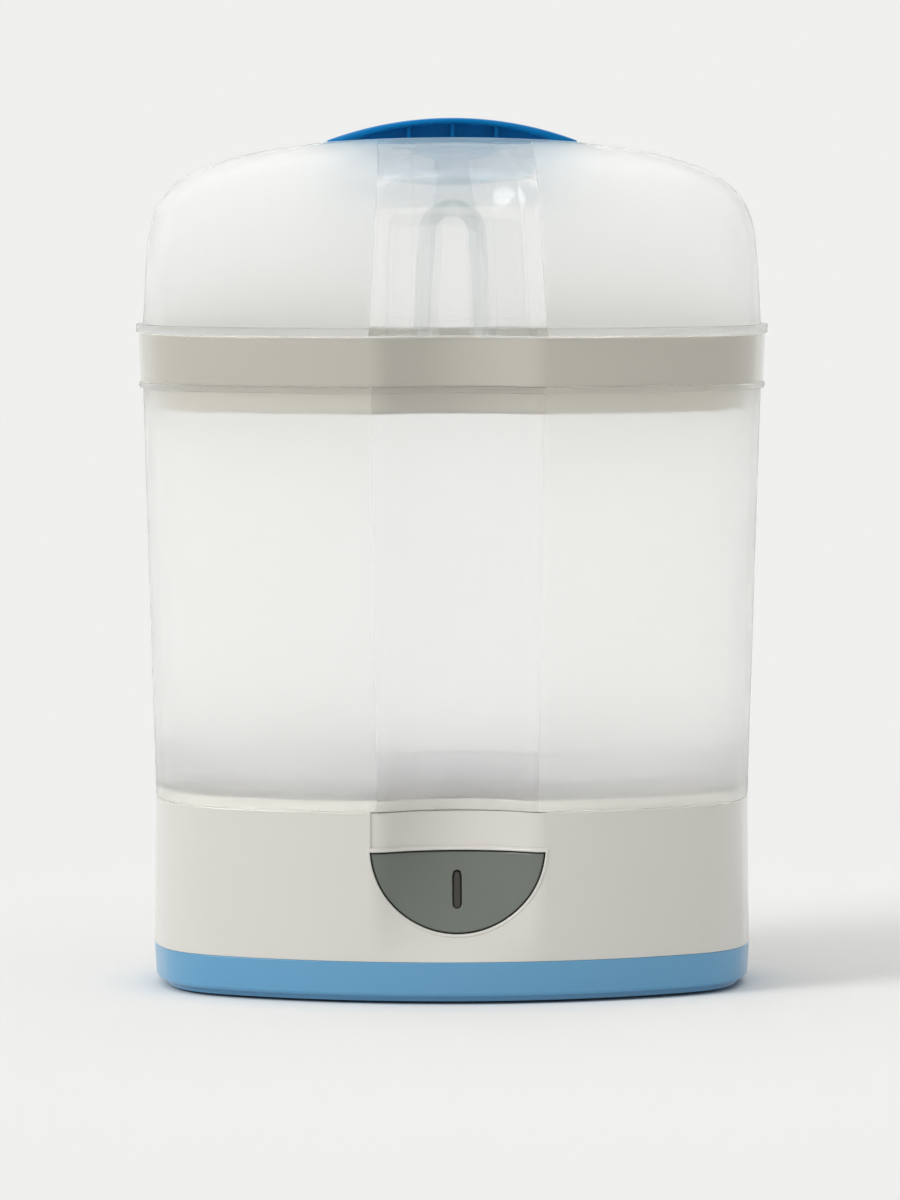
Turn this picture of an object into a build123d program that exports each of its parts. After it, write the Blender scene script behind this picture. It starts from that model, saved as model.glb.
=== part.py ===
"""Electric steam sterilizer for baby bottles: base unit, body, bottle rack, tray and domed lid.

Millimetres, +Z up. The origin is on the table, under the middle of the sterilizer, and the front
with the power button faces -Y. Each function below makes one physical piece.
"""
from build123d import *
import math
import os

# Heights of the stacked units, from the table up.
FOOT_REACH = 1.2
RING_HEIGHT = 17.2
HOUSING_HEIGHT = 63.9
BODY_HEIGHT = 181.3
BAND_HEIGHT = 21.3
DOME_HEIGHT = 80.9
SEAT_GAP = 0.1

RING_BOTTOM = FOOT_REACH
RING_TOP = RING_BOTTOM + RING_HEIGHT
HOUSING_TOP = RING_TOP + HOUSING_HEIGHT
BODY_BOTTOM = HOUSING_TOP + SEAT_GAP
BODY_TOP = BODY_BOTTOM + BODY_HEIGHT
BAND_BOTTOM = BODY_TOP + SEAT_GAP
BAND_TOP = BAND_BOTTOM + BAND_HEIGHT
LID_BOTTOM = BAND_TOP + SEAT_GAP

# Half width and half depth of the plan at each seam. The depth is to the full bow of the front.
RING_HALF_WIDTH = 130.6
RING_HALF_DEPTH = 86.0
HOUSING_DRAW_X = 0.9
HOUSING_DRAW_Y = 0.7
BODY_FLARE_X = 5.3
BODY_FLARE_Y = 5.0
BAND_STEP_X = 1.0
BAND_STEP_Y = 0.9
BAND_FLARE = 1.0
DOME_STEP_X = 2.1
DOME_STEP_Y = 2.0

JOIN_HALF_WIDTH = RING_HALF_WIDTH - HOUSING_DRAW_X
JOIN_HALF_DEPTH = RING_HALF_DEPTH - HOUSING_DRAW_Y
BODY_TOP_HALF_WIDTH = JOIN_HALF_WIDTH + BODY_FLARE_X
BODY_TOP_HALF_DEPTH = JOIN_HALF_DEPTH + BODY_FLARE_Y
BAND_LOW_HALF_WIDTH = BODY_TOP_HALF_WIDTH + BAND_STEP_X
BAND_LOW_HALF_DEPTH = BODY_TOP_HALF_DEPTH + BAND_STEP_Y
BAND_TOP_HALF_WIDTH = BAND_LOW_HALF_WIDTH + BAND_FLARE
BAND_TOP_HALF_DEPTH = BAND_LOW_HALF_DEPTH + BAND_FLARE
DOME_HALF_WIDTH = BAND_TOP_HALF_WIDTH - DOME_STEP_X
DOME_HALF_DEPTH = BAND_TOP_HALF_DEPTH - DOME_STEP_Y

# Arcs of the plan: bowed front and back with a waist in the middle, rounded corners, bowed sides.
FRONT_RADIUS = 205.0
CORNER_RADIUS = 48.0
SIDE_RADIUS = 104.0
SHOULDER_RADIUS = 14.0
SHOULDER_REACH = 36.0
WAIST_DEPTH = 15.5
MID_WAIST_DEPTH = 11.5
MID_WAIST_HEIGHT = 31.0

# Base ring.
RING_WALL = 3.0
RING_FLOOR = 2.6
RING_TAPER = 0.9
RING_EDGE_RADIUS = 2.0
SKIRT_INSET = 5.0
SKIRT_HEIGHT = 2.2
LIP_HEIGHT = 2.0
LIP_WALL = 1.8
LIP_CLEARANCE = 1.0
VENT_LENGTH = 26.0
VENT_WIDTH = 2.4
VENT_PITCH = 6.0
VENT_COUNT = 6
VENT_REACH = 46.0

# Feet and base screws.
FOOT_RADIUS = 7.0
FOOT_RECESS = 1.4
FOOT_CLEARANCE = 0.15
FOOT_INSET_X = 38.6
FOOT_INSET_Y = 42.0
FOOT_CHAMFER = 0.4
SCREW_INSET_X = 60.6
SCREW_INSET_Y = 31.0
SCREW_RADIUS = 1.7
SCREW_CLEARANCE = 0.05
SCREW_HEAD_RADIUS = 3.2
SCREW_HEAD_HEIGHT = 2.2
SCREW_WELL_RADIUS = 3.8
SCREW_WELL_DEPTH = 8.0
SCREW_BITE = 8.0
BOSS_RADIUS = 5.0

# Base housing.
HOUSING_WALL = 2.6
FLOOR_THICKNESS = 2.5
FLOOR_CLEARANCE = 0.15
BASIN_DEPTH = 8.3
UPSTAND_HEIGHT = 4.5
UPSTAND_WALL = 2.0
PANEL_DEPTH = 0.8
PANEL_HALF_WIDTH = 37.4

# Body and its ledge.
BODY_WALL = 2.2
BODY_CLEARANCE = 0.4
BODY_RIM_HEIGHT = 2.5
BODY_RIM_REACH = 1.65
LEDGE_GAP = 1.2
LEDGE_THICKNESS = 2.0
LEDGE_WIDTH = 5.0

# Power button, its slit and what it works. A drop is measured from the button's top edge.
BUTTON_RADIUS = 37.6
BUTTON_TOP_DROP = 17.1
BUTTON_CENTRE_RISE = 2.3
BUTTON_GAP = 0.45
BUTTON_SET = 0.4
BUTTON_SKIN = 2.2
BUTTON_WALL = 1.6
BUTTON_DEPTH = 18.0
BUTTON_TRAVEL = 1.2
SLIT_WIDTH = 4.0
SLIT_HEIGHT = 16.4
SLIT_DROP = 16.6
GUIDE_CLEARANCE = 0.2
GUIDE_SET = 1.2
GUIDE_FLANGE = 1.6
GUIDE_FLANGE_DEPTH = 1.5
PIN_RADIUS = 2.0
PIN_CLEARANCE = 0.1
PIN_REACH_X = 22.0
PIN_DROP = 13.2
PIN_OVERRUN = 3.0
SWITCH_DROP = 29.2
PUSHER_RADIUS = 2.5
PUSHER_CLEARANCE = 0.1

# Bracket behind the button and the board it holds.
BRACKET_SET = 6.0
BRACKET_THICKNESS = 2.0
BRACKET_HALF_WIDTH = 44.0
BRACKET_DROP = 41.2
EAR_LENGTH = 12.0
EAR_THICKNESS = 2.4
BRACKET_SCREW_X = 40.0
WINDOW_MARGIN = 3.0
STANDOFF_RADIUS = 3.0
STANDOFF_HEIGHT = 6.0
BOARD_THICKNESS = 1.6
BOARD_HALF_WIDTH = 38.0
BOARD_TOP_DROP = 5.2
BOARD_BOTTOM_DROP = 38.2
BOARD_HOLE_INSET = 4.0
SMALL_SCREW_RADIUS = 1.25
SMALL_HEAD_RADIUS = 2.4
SMALL_HEAD_HEIGHT = 1.6
SMALL_SCREW_BITE = 4.5
SWITCH_SIDE = 6.0
SWITCH_HEIGHT = 3.5
PLUNGER_RADIUS = 1.75
PLUNGER_HEIGHT = 1.5
LED_RADIUS = 1.5
LED_LENGTH = 5.0
LED_FLANGE_RADIUS = 1.9
LED_FLANGE_HEIGHT = 1.0
RELAY_WIDTH = 19.0
RELAY_HEIGHT = 15.0
RELAY_DEPTH = 11.0
RELAY_X = 18.0
RELAY_DROP = 23.2
CAPACITOR_RADIUS = 5.0
CAPACITOR_LENGTH = 12.0
CAPACITOR_X = -8.0
CAPACITOR_DROP = 17.2
HEADER_WIDTH = 16.0
HEADER_HEIGHT = 8.0
HEADER_DEPTH = 6.0
HEADER_X = -20.0
HEADER_DROP = 32.2

# Heating plate, its seal and the parts under it.
DISH_RADIUS = 55.0
DISH_DEPTH = 4.5
DISH_RISE = 0.8
PLATE_RIM = 5.0
PLATE_THICKNESS = 1.0
HOLE_CLEARANCE = 1.0
SEAL_THICKNESS = 1.0
SEAL_LIP = 1.4
ELEMENT_INSET = 15.0
ELEMENT_WIRE_RADIUS = 3.3
ELEMENT_SWEEP = 300.0
COLD_PIN_LENGTH = 12.0
TAB_RADIUS = 1.3
TAB_LENGTH = 8.0
CLAMP_THICKNESS = 1.6
CLAMP_HUB_RADIUS = 16.0
CLAMP_HUB_HOLE = 10.0
CLAMP_ARM_WIDTH = 10.0
CLAMP_ARMS = 3
CLAMP_SCREW_OUTSET = 6.0
CLAMP_BOSS_RADIUS = 4.0
CAP_RADIUS = 8.5
CAP_HEIGHT = 2.0
THERMOSTAT_RADIUS = 7.0
THERMOSTAT_HEIGHT = 9.0
BLADE_WIDTH = 6.3
BLADE_THICKNESS = 0.8
BLADE_LENGTH = 7.0
BLADE_REACH = 4.0
FUSE_RADIUS = 2.0
FUSE_LENGTH = 13.0
FUSE_LEAD_RADIUS = 0.6
FUSE_LEAD_LENGTH = 6.0
FUSE_REACH = 24.0

# Cord bushing, its seat and the terminal block at the back.
GLAND_RISE = 11.0
GLAND_BORE = 3.6
GLAND_RADIUS = 6.0
GLAND_CLEARANCE = 0.1
GLAND_FLANGE_RADIUS = 8.0
GLAND_FLANGE_HEIGHT = 1.6
SEAT_REACH = 8.8
SEAT_LIP = 2.0
SEAT_INSET = 2.0
SEAT_DEPTH = 12.0
GLAND_COLLAR_RADIUS = 8.0
GLAND_COLLAR_HEIGHT = 3.0
BLOCK_WIDTH = 30.0
BLOCK_DEPTH = 14.0
BLOCK_HEIGHT = 13.0
BLOCK_INSET = 34.0
BLOCK_WAYS = 3
BLOCK_WAY_PITCH = 9.0
BLOCK_BORE = 2.0
BLOCK_SCREW_RADIUS = 2.2
BLOCK_SCREW_DEPTH = 3.0

# Bottle rack.
RACK_CLEARANCE = 0.6
RACK_WALL = 2.0
RACK_FLOOR = 2.0
RACK_FLOOR_LIFT = 2.2
RACK_HEIGHT = 17.0
RACK_HOLE_WIDTH = 5.0
RACK_HOLE_LENGTH = 11.0
RACK_PITCH_X = 17.0
RACK_PITCH_Y = 13.0
RACK_ROWS = 9
RACK_COLUMNS = 13
RACK_MARGIN = 12.0

# Tray and its handle.
BAND_WALL = 2.4
BOWL_CLEARANCE = 0.8
BOWL_WALL = 2.0
BOWL_FLOOR = 2.0
BOWL_DROP = 11.7
TRAY_SLOT_WIDTH = 4.0
TRAY_SLOT_LENGTH = 22.0
TRAY_PITCH_X = 30.0
TRAY_PITCH_Y = 14.0
TRAY_ROWS = 8
TRAY_COLUMNS = 7
TRAY_MARGIN = 14.0
LOOP_TOP_RADIUS = 14.95
LOOP_FOOT_REACH = 18.6
LOOP_INNER_RADIUS = 7.25
LOOP_INNER_FOOT = 11.6
LOOP_RISE = 58.2
LOOP_WEB = 3.0
LOOP_FLANGE = 8.0
LOOP_FLANGE_WALL = 1.8
LOOP_FOOT_WIDTH = 48.0
LOOP_FOOT_DEPTH = 14.0
LOOP_FOOT_HEIGHT = 2.4

# Lid shell: a dome whose plan shrinks by a superellipse of these two powers.
LID_WALL = 2.0
LID_RIM_HEIGHT = 3.7
LID_RIM_REACH = 3.05
LID_SKIRT_DEPTH = 3.6
LID_SKIRT_WALL = 1.6
LID_SKIRT_CLEARANCE = 0.6
DOME_RISE_POWER = 6.0
DOME_SPREAD_POWER = 2.2
DOME_LEAN = 0.03
DOME_CUT = 0.975
DOME_SECTIONS = 11
DOME_STEPS = 1500

# Lid handle: a bowl let into the crown, bridged by an arched grip.
BOWL_HALF_LENGTH = 56.5
BOWL_HALF_DEPTH = 31.0
INSERT_WALL = 2.0
INSERT_CLEARANCE = 0.2
INSERT_BOTTOM_DROP = 19.4
INSERT_BOTTOM_RADIUS = 150.0
INSERT_TOP_RADIUS = 820.0
INSERT_FLANGE_REACH = 3.5
INSERT_FLANGE_DROP = 6.0
STEAM_SLOT_LENGTH = 16.0
STEAM_SLOT_WIDTH = 3.0
STEAM_SLOT_X = 30.0
STEAM_SLOT_Y = 14.0
GRIP_RISE = 8.6
GRIP_TOP_RADIUS = 156.0
GRIP_THICKNESS = 2.7
GRIP_UNDER_RADIUS = 131.0
GRIP_HALF_DEPTH = 13.0
WEB_THICKNESS = 2.4
WEB_CLEARANCE = 0.05
RIB_THICKNESS = 1.6
RIB_HALF_DEPTH = 9.0
RIB_PITCH = 19.0
RIB_COUNT = 3

# Heights and depths that the values above fix.
RING_FLOOR_TOP = RING_BOTTOM + RING_FLOOR
BASIN_FLOOR = HOUSING_TOP - BASIN_DEPTH
FLOOR_UNDER = BASIN_FLOOR - FLOOR_THICKNESS
UPSTAND_TOP = HOUSING_TOP + UPSTAND_HEIGHT
FOOT_REACH_X = RING_HALF_WIDTH - FOOT_INSET_X
FOOT_REACH_Y = RING_HALF_DEPTH - FOOT_INSET_Y
SCREW_REACH_X = RING_HALF_WIDTH - SCREW_INSET_X
SCREW_REACH_Y = RING_HALF_DEPTH - SCREW_INSET_Y
PLATE_RADIUS = DISH_RADIUS + PLATE_RIM
HOLE_RADIUS = DISH_RADIUS + HOLE_CLEARANCE
ELEMENT_RADIUS = DISH_RADIUS - ELEMENT_INSET
CLAMP_SCREW_REACH = HOLE_RADIUS + CLAMP_SCREW_OUTSET
PLATE_BOTTOM = BASIN_FLOOR + SEAL_THICKNESS - DISH_DEPTH
ELEMENT_Z = PLATE_BOTTOM - ELEMENT_WIRE_RADIUS
CLAMP_TOP = ELEMENT_Z - ELEMENT_WIRE_RADIUS
BUTTON_TOP_Z = HOUSING_TOP - BUTTON_TOP_DROP
BUTTON_CENTRE_Z = BUTTON_TOP_Z + BUTTON_CENTRE_RISE
BUTTON_BACK_Y = BUTTON_DEPTH - RING_HALF_DEPTH
SLIT_Z = BUTTON_TOP_Z - SLIT_DROP
PIN_Z = BUTTON_TOP_Z - PIN_DROP
SWITCH_Z = BUTTON_TOP_Z - SWITCH_DROP
PUSHER_GAP = BUTTON_TRAVEL + PUSHER_CLEARANCE
BRACKET_FRONT_Y = BUTTON_BACK_Y + BRACKET_SET
BRACKET_BACK_Y = BRACKET_FRONT_Y + BRACKET_THICKNESS
BRACKET_BOTTOM_Z = BUTTON_TOP_Z - BRACKET_DROP
BOARD_TOP_Z = BUTTON_TOP_Z - BOARD_TOP_DROP
BOARD_BOTTOM_Z = BUTTON_TOP_Z - BOARD_BOTTOM_DROP
RELAY_Z = BUTTON_TOP_Z - RELAY_DROP
CAPACITOR_Z = BUTTON_TOP_Z - CAPACITOR_DROP
HEADER_Z = BUTTON_TOP_Z - HEADER_DROP
BOARD_FRONT_Y = BRACKET_BACK_Y + STANDOFF_HEIGHT
BOARD_BACK_Y = BOARD_FRONT_Y + BOARD_THICKNESS
PLUNGER_FRONT_Y = BOARD_FRONT_Y - SWITCH_HEIGHT - PLUNGER_HEIGHT
GLAND_Z = RING_TOP + GLAND_RISE
SEAT_Y = RING_HALF_DEPTH - SEAT_INSET
BLOCK_Y = RING_HALF_DEPTH - BLOCK_INSET
LEDGE_BOTTOM = UPSTAND_TOP + LEDGE_GAP
LEDGE_TOP = LEDGE_BOTTOM + LEDGE_THICKNESS
RACK_BOTTOM = LEDGE_TOP + SEAT_GAP
RACK_FLOOR_BOTTOM = RACK_BOTTOM + RACK_FLOOR_LIFT
BOWL_BOTTOM = BODY_TOP - BOWL_DROP
BOWL_FLOOR_TOP = BOWL_BOTTOM + BOWL_FLOOR
SHELF_TOP = BAND_BOTTOM + BAND_WALL
DOME_BOTTOM = LID_BOTTOM + LID_RIM_HEIGHT
CROWN_Z = DOME_BOTTOM + DOME_HEIGHT
LOOP_CENTRE_Z = BAND_TOP + LOOP_RISE - LOOP_TOP_RADIUS
FAR_FRONT = -2 * RING_HALF_DEPTH
FAR = 2 * RING_HALF_WIDTH

# The standard self-tapping screw and its holes.
SCREW_HOLE_RADIUS = SCREW_RADIUS + SCREW_CLEARANCE
SMALL_HOLE_RADIUS = SMALL_SCREW_RADIUS + SCREW_CLEARANCE


def meet(first, first_reach, second, second_reach):
    """The point right of the line from first to second, at the two given distances from them."""
    gap_x = second[0] - first[0]
    gap_y = second[1] - first[1]
    span = math.hypot(gap_x, gap_y)
    along = (first_reach**2 - second_reach**2 + span**2) / (2 * span)
    aside = math.sqrt(first_reach**2 - along**2)
    x = first[0] + (along * gap_x + aside * gap_y) / span
    y = first[1] + (along * gap_y - aside * gap_x) / span
    return (x, y)


def toward(centre, target, reach):
    """The point at the given reach from centre, on the way to target."""
    span = math.hypot(target[0] - centre[0], target[1] - centre[1])
    x = centre[0] + (target[0] - centre[0]) * reach / span
    y = centre[1] + (target[1] - centre[1]) * reach / span
    return (x, y)


def middle(centre, start, end, radius):
    """The middle point of the short arc from start to end about centre."""
    return toward(centre, ((start[0] + end[0]) / 2, (start[1] + end[1]) / 2), radius)


def front_quarter(half_width, half_depth, waist, inset):
    """Start, middle and end of each arc of the front right quarter, from the waist to the side."""
    bow = (0.0, FRONT_RADIUS - half_depth)
    side = (half_width - SIDE_RADIUS, 0.0)
    corner = meet(side, SIDE_RADIUS - CORNER_RADIUS, bow, FRONT_RADIUS - CORNER_RADIUS)
    drop = math.sqrt((FRONT_RADIUS - SHOULDER_RADIUS) ** 2 - SHOULDER_REACH**2)
    shoulder = (SHOULDER_REACH, bow[1] - drop)
    rise = shoulder[1] + half_depth - (waist or WAIST_DEPTH)
    waist_radius = (SHOULDER_REACH**2 + rise**2 - SHOULDER_RADIUS**2) / (2 * (SHOULDER_RADIUS - rise))
    dip = (0.0, (waist or WAIST_DEPTH) - half_depth - waist_radius)
    bow_radius = FRONT_RADIUS - inset
    after_shoulder = toward(bow, shoulder, bow_radius)
    before_side = toward(side, corner, SIDE_RADIUS - inset)
    before_corner = toward(bow, corner, bow_radius)
    if waist:
        start = (0.0, waist - half_depth + inset)
        before_shoulder = toward(dip, shoulder, waist_radius + inset)
        waist_middle = middle(dip, start, before_shoulder, waist_radius + inset)
        shoulder_middle = middle(shoulder, before_shoulder, after_shoulder, SHOULDER_RADIUS - inset)
    else:
        start = (0.0, inset - half_depth)
        before_shoulder = toward(bow, (toward(dip, shoulder, waist_radius)[0], shoulder[1]), bow_radius)
        waist_middle = middle(bow, start, before_shoulder, bow_radius)
        shoulder_middle = middle(bow, before_shoulder, after_shoulder, bow_radius)
    return [
        (start, waist_middle, before_shoulder),
        (before_shoulder, shoulder_middle, after_shoulder),
        (after_shoulder, middle(bow, after_shoulder, before_corner, bow_radius), before_corner),
        (before_corner, middle(corner, before_corner, before_side, CORNER_RADIUS - inset), before_side),
        (before_side, middle(side, before_side, (half_width, 0.0), SIDE_RADIUS - inset),
         (half_width - inset, 0.0)),
    ]


def plan(z, half_width, half_depth, waist=WAIST_DEPTH, inset=0.0, scale=1.0):
    """The closed outline of one level as a wire of arcs, drawn in by inset or shrunk by scale."""
    quarter = front_quarter(half_width, half_depth, waist, inset)
    arcs = list(quarter)
    arcs += [tuple((x, -y) for x, y in reversed(arc)) for arc in reversed(quarter)]
    arcs += [tuple((-x, y) for x, y in reversed(arc)) for arc in reversed(arcs)]
    edges = []
    for arc in arcs:
        points = [(x * scale, y * scale, z) for x, y in arc]
        edges.append(Edge.make_three_point_arc(*points))
    return Wire(edges)


def loft_solid(wires, ruled=True):
    """One solid through the given outlines."""
    return Part() + Solid.make_loft(wires, ruled)


def prism(outline_wire, height):
    """The outline raised by height."""
    return extrude(Face(outline_wire), amount=height, dir=(0, 0, 1))


def push(sketch, back, front):
    """A sketch drawn in x and z, made solid from y = back forward to y = front."""
    return extrude(Pos(0, back, 0) * (Plane.XZ * sketch), amount=back - front)


def post(radius, bottom, top, x=0.0, y=0.0):
    """An upright cylinder between two heights."""
    return Pos(x, y, (bottom + top) / 2) * Cylinder(radius, top - bottom)


def spigot(radius, front, back, x, z):
    """A cylinder lying along Y between two depths."""
    return Pos(x, (front + back) / 2, z) * Rot(90, 0, 0) * Cylinder(radius, back - front)


def block(x_range, y_range, z_range):
    """A box between two values along each axis."""
    size = [high - low for low, high in (x_range, y_range, z_range)]
    centre = [(high + low) / 2 for low, high in (x_range, y_range, z_range)]
    return Pos(*centre) * Box(*size)


def four_corners(reach_x, reach_y):
    """The four places at plus and minus the given reaches."""
    return [(x, y) for x in (-reach_x, reach_x) for y in (-reach_y, reach_y)]


def ring_plan(z, inset=0.0):
    """The outline of the base ring, which has no waist."""
    return plan(z, RING_HALF_WIDTH, RING_HALF_DEPTH, 0.0, inset)


def join_plan(z, inset=0.0):
    """The outline where the body meets the base housing."""
    return plan(z, JOIN_HALF_WIDTH, JOIN_HALF_DEPTH, inset=inset)


def housing_form(inset=0.0):
    """The outer form of the base housing, whose waist fades out towards the ring."""
    mid_share = MID_WAIST_HEIGHT / HOUSING_HEIGHT
    mid_width = RING_HALF_WIDTH + (JOIN_HALF_WIDTH - RING_HALF_WIDTH) * mid_share
    mid_depth = RING_HALF_DEPTH + (JOIN_HALF_DEPTH - RING_HALF_DEPTH) * mid_share
    return loft_solid(
        [
            plan(RING_TOP, RING_HALF_WIDTH, RING_HALF_DEPTH, waist=0.0, inset=inset),
            plan(RING_TOP + MID_WAIST_HEIGHT, mid_width, mid_depth, MID_WAIST_DEPTH, inset),
            join_plan(HOUSING_TOP, inset),
        ],
        ruled=False,
    )


def body_plan(z, inset=0.0):
    """The outline of the body's tapering wall at height z."""
    share = (z - BODY_BOTTOM) / BODY_HEIGHT
    half_width = JOIN_HALF_WIDTH + (BODY_TOP_HALF_WIDTH - JOIN_HALF_WIDTH) * share
    half_depth = JOIN_HALF_DEPTH + (BODY_TOP_HALF_DEPTH - JOIN_HALF_DEPTH) * share
    return plan(z, half_width, half_depth, inset=inset)


def body_form(bottom, top, inset=0.0):
    """The body's form between two heights, drawn in by inset."""
    return loft_solid([body_plan(bottom, inset), body_plan(top, inset)])


def base_ring():
    """Blue bottom cover: floor, wall with a rounded lower edge, locating lip, screw columns, vents."""
    wall_bottom = RING_BOTTOM + SKIRT_HEIGHT
    low_width = RING_HALF_WIDTH - RING_TAPER
    low_depth = RING_HALF_DEPTH - RING_TAPER
    wall = loft_solid([plan(wall_bottom, low_width, low_depth, 0.0), ring_plan(RING_TOP)])
    wall = fillet(wall.faces().sort_by(Axis.Z)[0].edges(), RING_EDGE_RADIUS)
    lip_inset = HOUSING_WALL + LIP_CLEARANCE
    lip_bottom = RING_TOP - LIP_HEIGHT
    ring = wall + prism(ring_plan(RING_BOTTOM, SKIRT_INSET), SKIRT_HEIGHT + RING_EDGE_RADIUS)
    ring -= prism(ring_plan(wall_bottom + RING_FLOOR, RING_WALL), RING_HEIGHT)
    ring -= prism(ring_plan(RING_FLOOR_TOP, SKIRT_INSET + RING_WALL), RING_HEIGHT)
    lip = prism(ring_plan(lip_bottom, RING_WALL), LIP_HEIGHT)
    lip += prism(ring_plan(lip_bottom, lip_inset), 2 * LIP_HEIGHT)
    ring += lip - prism(ring_plan(lip_bottom, lip_inset + LIP_WALL), 2 * LIP_HEIGHT)
    screws = four_corners(SCREW_REACH_X, SCREW_REACH_Y)
    ring += [post(BOSS_RADIUS, RING_FLOOR_TOP, RING_TOP, x, y) for x, y in screws]
    cuts = [post(SCREW_HOLE_RADIUS, RING_BOTTOM, RING_TOP, x, y) for x, y in screws]
    cuts += [post(SCREW_WELL_RADIUS, RING_BOTTOM, RING_BOTTOM + SCREW_WELL_DEPTH, x, y) for x, y in screws]
    recess_radius = FOOT_RADIUS + FOOT_CLEARANCE
    for x, y in four_corners(FOOT_REACH_X, FOOT_REACH_Y):
        cuts.append(post(recess_radius, RING_BOTTOM, RING_BOTTOM + FOOT_RECESS, x, y))
    for index in range(VENT_COUNT):
        y = (index - (VENT_COUNT - 1) / 2) * VENT_PITCH
        for x in (-VENT_REACH, VENT_REACH):
            slot = Pos(x, y, RING_BOTTOM) * SlotOverall(VENT_LENGTH, VENT_WIDTH)
            cuts.append(extrude(slot, amount=RING_FLOOR))
    return ring - cuts


def foot_pads():
    """Four rubber feet, let into the base ring."""
    pads = []
    for x, y in four_corners(FOOT_REACH_X, FOOT_REACH_Y):
        pad = post(FOOT_RADIUS, 0.0, FOOT_REACH + FOOT_RECESS, x, y)
        pads.append(chamfer(pad.edges().group_by(Axis.Z)[0], FOOT_CHAMFER))
    return pads


def screw(radius, head_radius, head_height, bite):
    """A pan-head screw that points up, with its head's underside at the origin."""
    head = post(head_radius, -head_height, 0.0)
    head = fillet(head.edges().group_by(Axis.Z)[0], head_height / 3)
    head -= Pos(0, 0, -head_height) * Box(head_radius, head_height / 3, head_height)
    head -= Pos(0, 0, -head_height) * Box(head_radius / 3, head_radius, head_height)
    return head + post(radius, 0.0, bite)


def base_screws():
    """Four screws that hold the base ring to the housing."""
    seat = RING_BOTTOM + SCREW_WELL_DEPTH
    bite = RING_TOP + SCREW_BITE - seat
    one = screw(SCREW_RADIUS, SCREW_HEAD_RADIUS, SCREW_HEAD_HEIGHT, bite)
    return [Pos(x, y, seat) * one for x, y in four_corners(SCREW_REACH_X, SCREW_REACH_Y)]


def half_moon(radius, top):
    """The half-moon of the power button as a sketch in x and z."""
    disc = Pos(0, BUTTON_CENTRE_Z) * Circle(radius)
    cover = Pos(0, top + radius) * Rectangle(4 * radius, 2 * radius)
    return disc - cover


def slit(grow=0.0):
    """The upright slit in the button as a sketch in x and z, larger all round by grow."""
    return Pos(0, SLIT_Z) * Rot(0, 0, 90) * SlotOverall(SLIT_HEIGHT + 2 * grow, SLIT_WIDTH + 2 * grow)


def clamp_places():
    """Where the clamp's screws stand, in plan."""
    places = []
    for index in range(CLAMP_ARMS):
        turn = math.radians(index * 360 / CLAMP_ARMS)
        places.append((CLAMP_SCREW_REACH * math.cos(turn), CLAMP_SCREW_REACH * math.sin(turn)))
    return places


def bracket_screw_places():
    """Where the bracket's screws stand, in plan."""
    y = BRACKET_BACK_Y + EAR_LENGTH / 2
    return [(x, y) for x in (-BRACKET_SCREW_X, BRACKET_SCREW_X)]


def base_housing():
    """White base housing: waisted wall, shoulder with an upstand, button opening, recessed panel."""
    upstand_inset = BODY_WALL + BODY_CLEARANCE
    housing = housing_form() + prism(join_plan(HOUSING_TOP, upstand_inset), UPSTAND_HEIGHT)
    housing -= housing_form(HOUSING_WALL) & block((-FAR, FAR), (-FAR, FAR), (0, BASIN_FLOOR))
    housing -= prism(join_plan(BASIN_FLOOR, upstand_inset + UPSTAND_WALL), BASIN_DEPTH + UPSTAND_HEIGHT)
    housing -= push(half_moon(BUTTON_RADIUS, BUTTON_TOP_Z), BUTTON_BACK_Y, FAR_FRONT)
    panel_bottom = BUTTON_TOP_Z + PANEL_DEPTH
    panel = block((-PANEL_HALF_WIDTH, PANEL_HALF_WIDTH), (FAR_FRONT, 0), (panel_bottom, HOUSING_TOP))
    housing -= panel - housing_form(PANEL_DEPTH)
    return housing - block((-SEAT_REACH, SEAT_REACH), (0, FAR), (GLAND_Z - SEAT_REACH, GLAND_Z + SEAT_REACH))


def basin_floor():
    """Floor of the water basin, seated up under the housing's shoulder, with the screw bosses."""
    level = block((-FAR, FAR), (-FAR, FAR), (FLOOR_UNDER, BASIN_FLOOR))
    floor = housing_form(HOUSING_WALL + FLOOR_CLEARANCE) & level
    floor -= post(HOLE_RADIUS, FLOOR_UNDER, BASIN_FLOOR)
    screws = four_corners(SCREW_REACH_X, SCREW_REACH_Y)
    bosses = [post(BOSS_RADIUS, RING_TOP, FLOOR_UNDER, x, y) for x, y in screws]
    bosses += [post(CLAMP_BOSS_RADIUS, CLAMP_TOP, FLOOR_UNDER, x, y) for x, y in clamp_places()]
    hole_top = RING_TOP + SCREW_BITE + SCREW_RADIUS
    holes = [post(SCREW_HOLE_RADIUS, RING_TOP, hole_top, x, y) for x, y in screws]
    holes += [post(SMALL_HOLE_RADIUS, CLAMP_TOP, FLOOR_UNDER, x, y) for x, y in clamp_places()]
    blind_top = BASIN_FLOOR - FLOOR_THICKNESS / 4
    holes += [post(SMALL_HOLE_RADIUS, FLOOR_UNDER, blind_top, x, y) for x, y in bracket_screw_places()]
    return floor + bosses - holes


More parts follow.
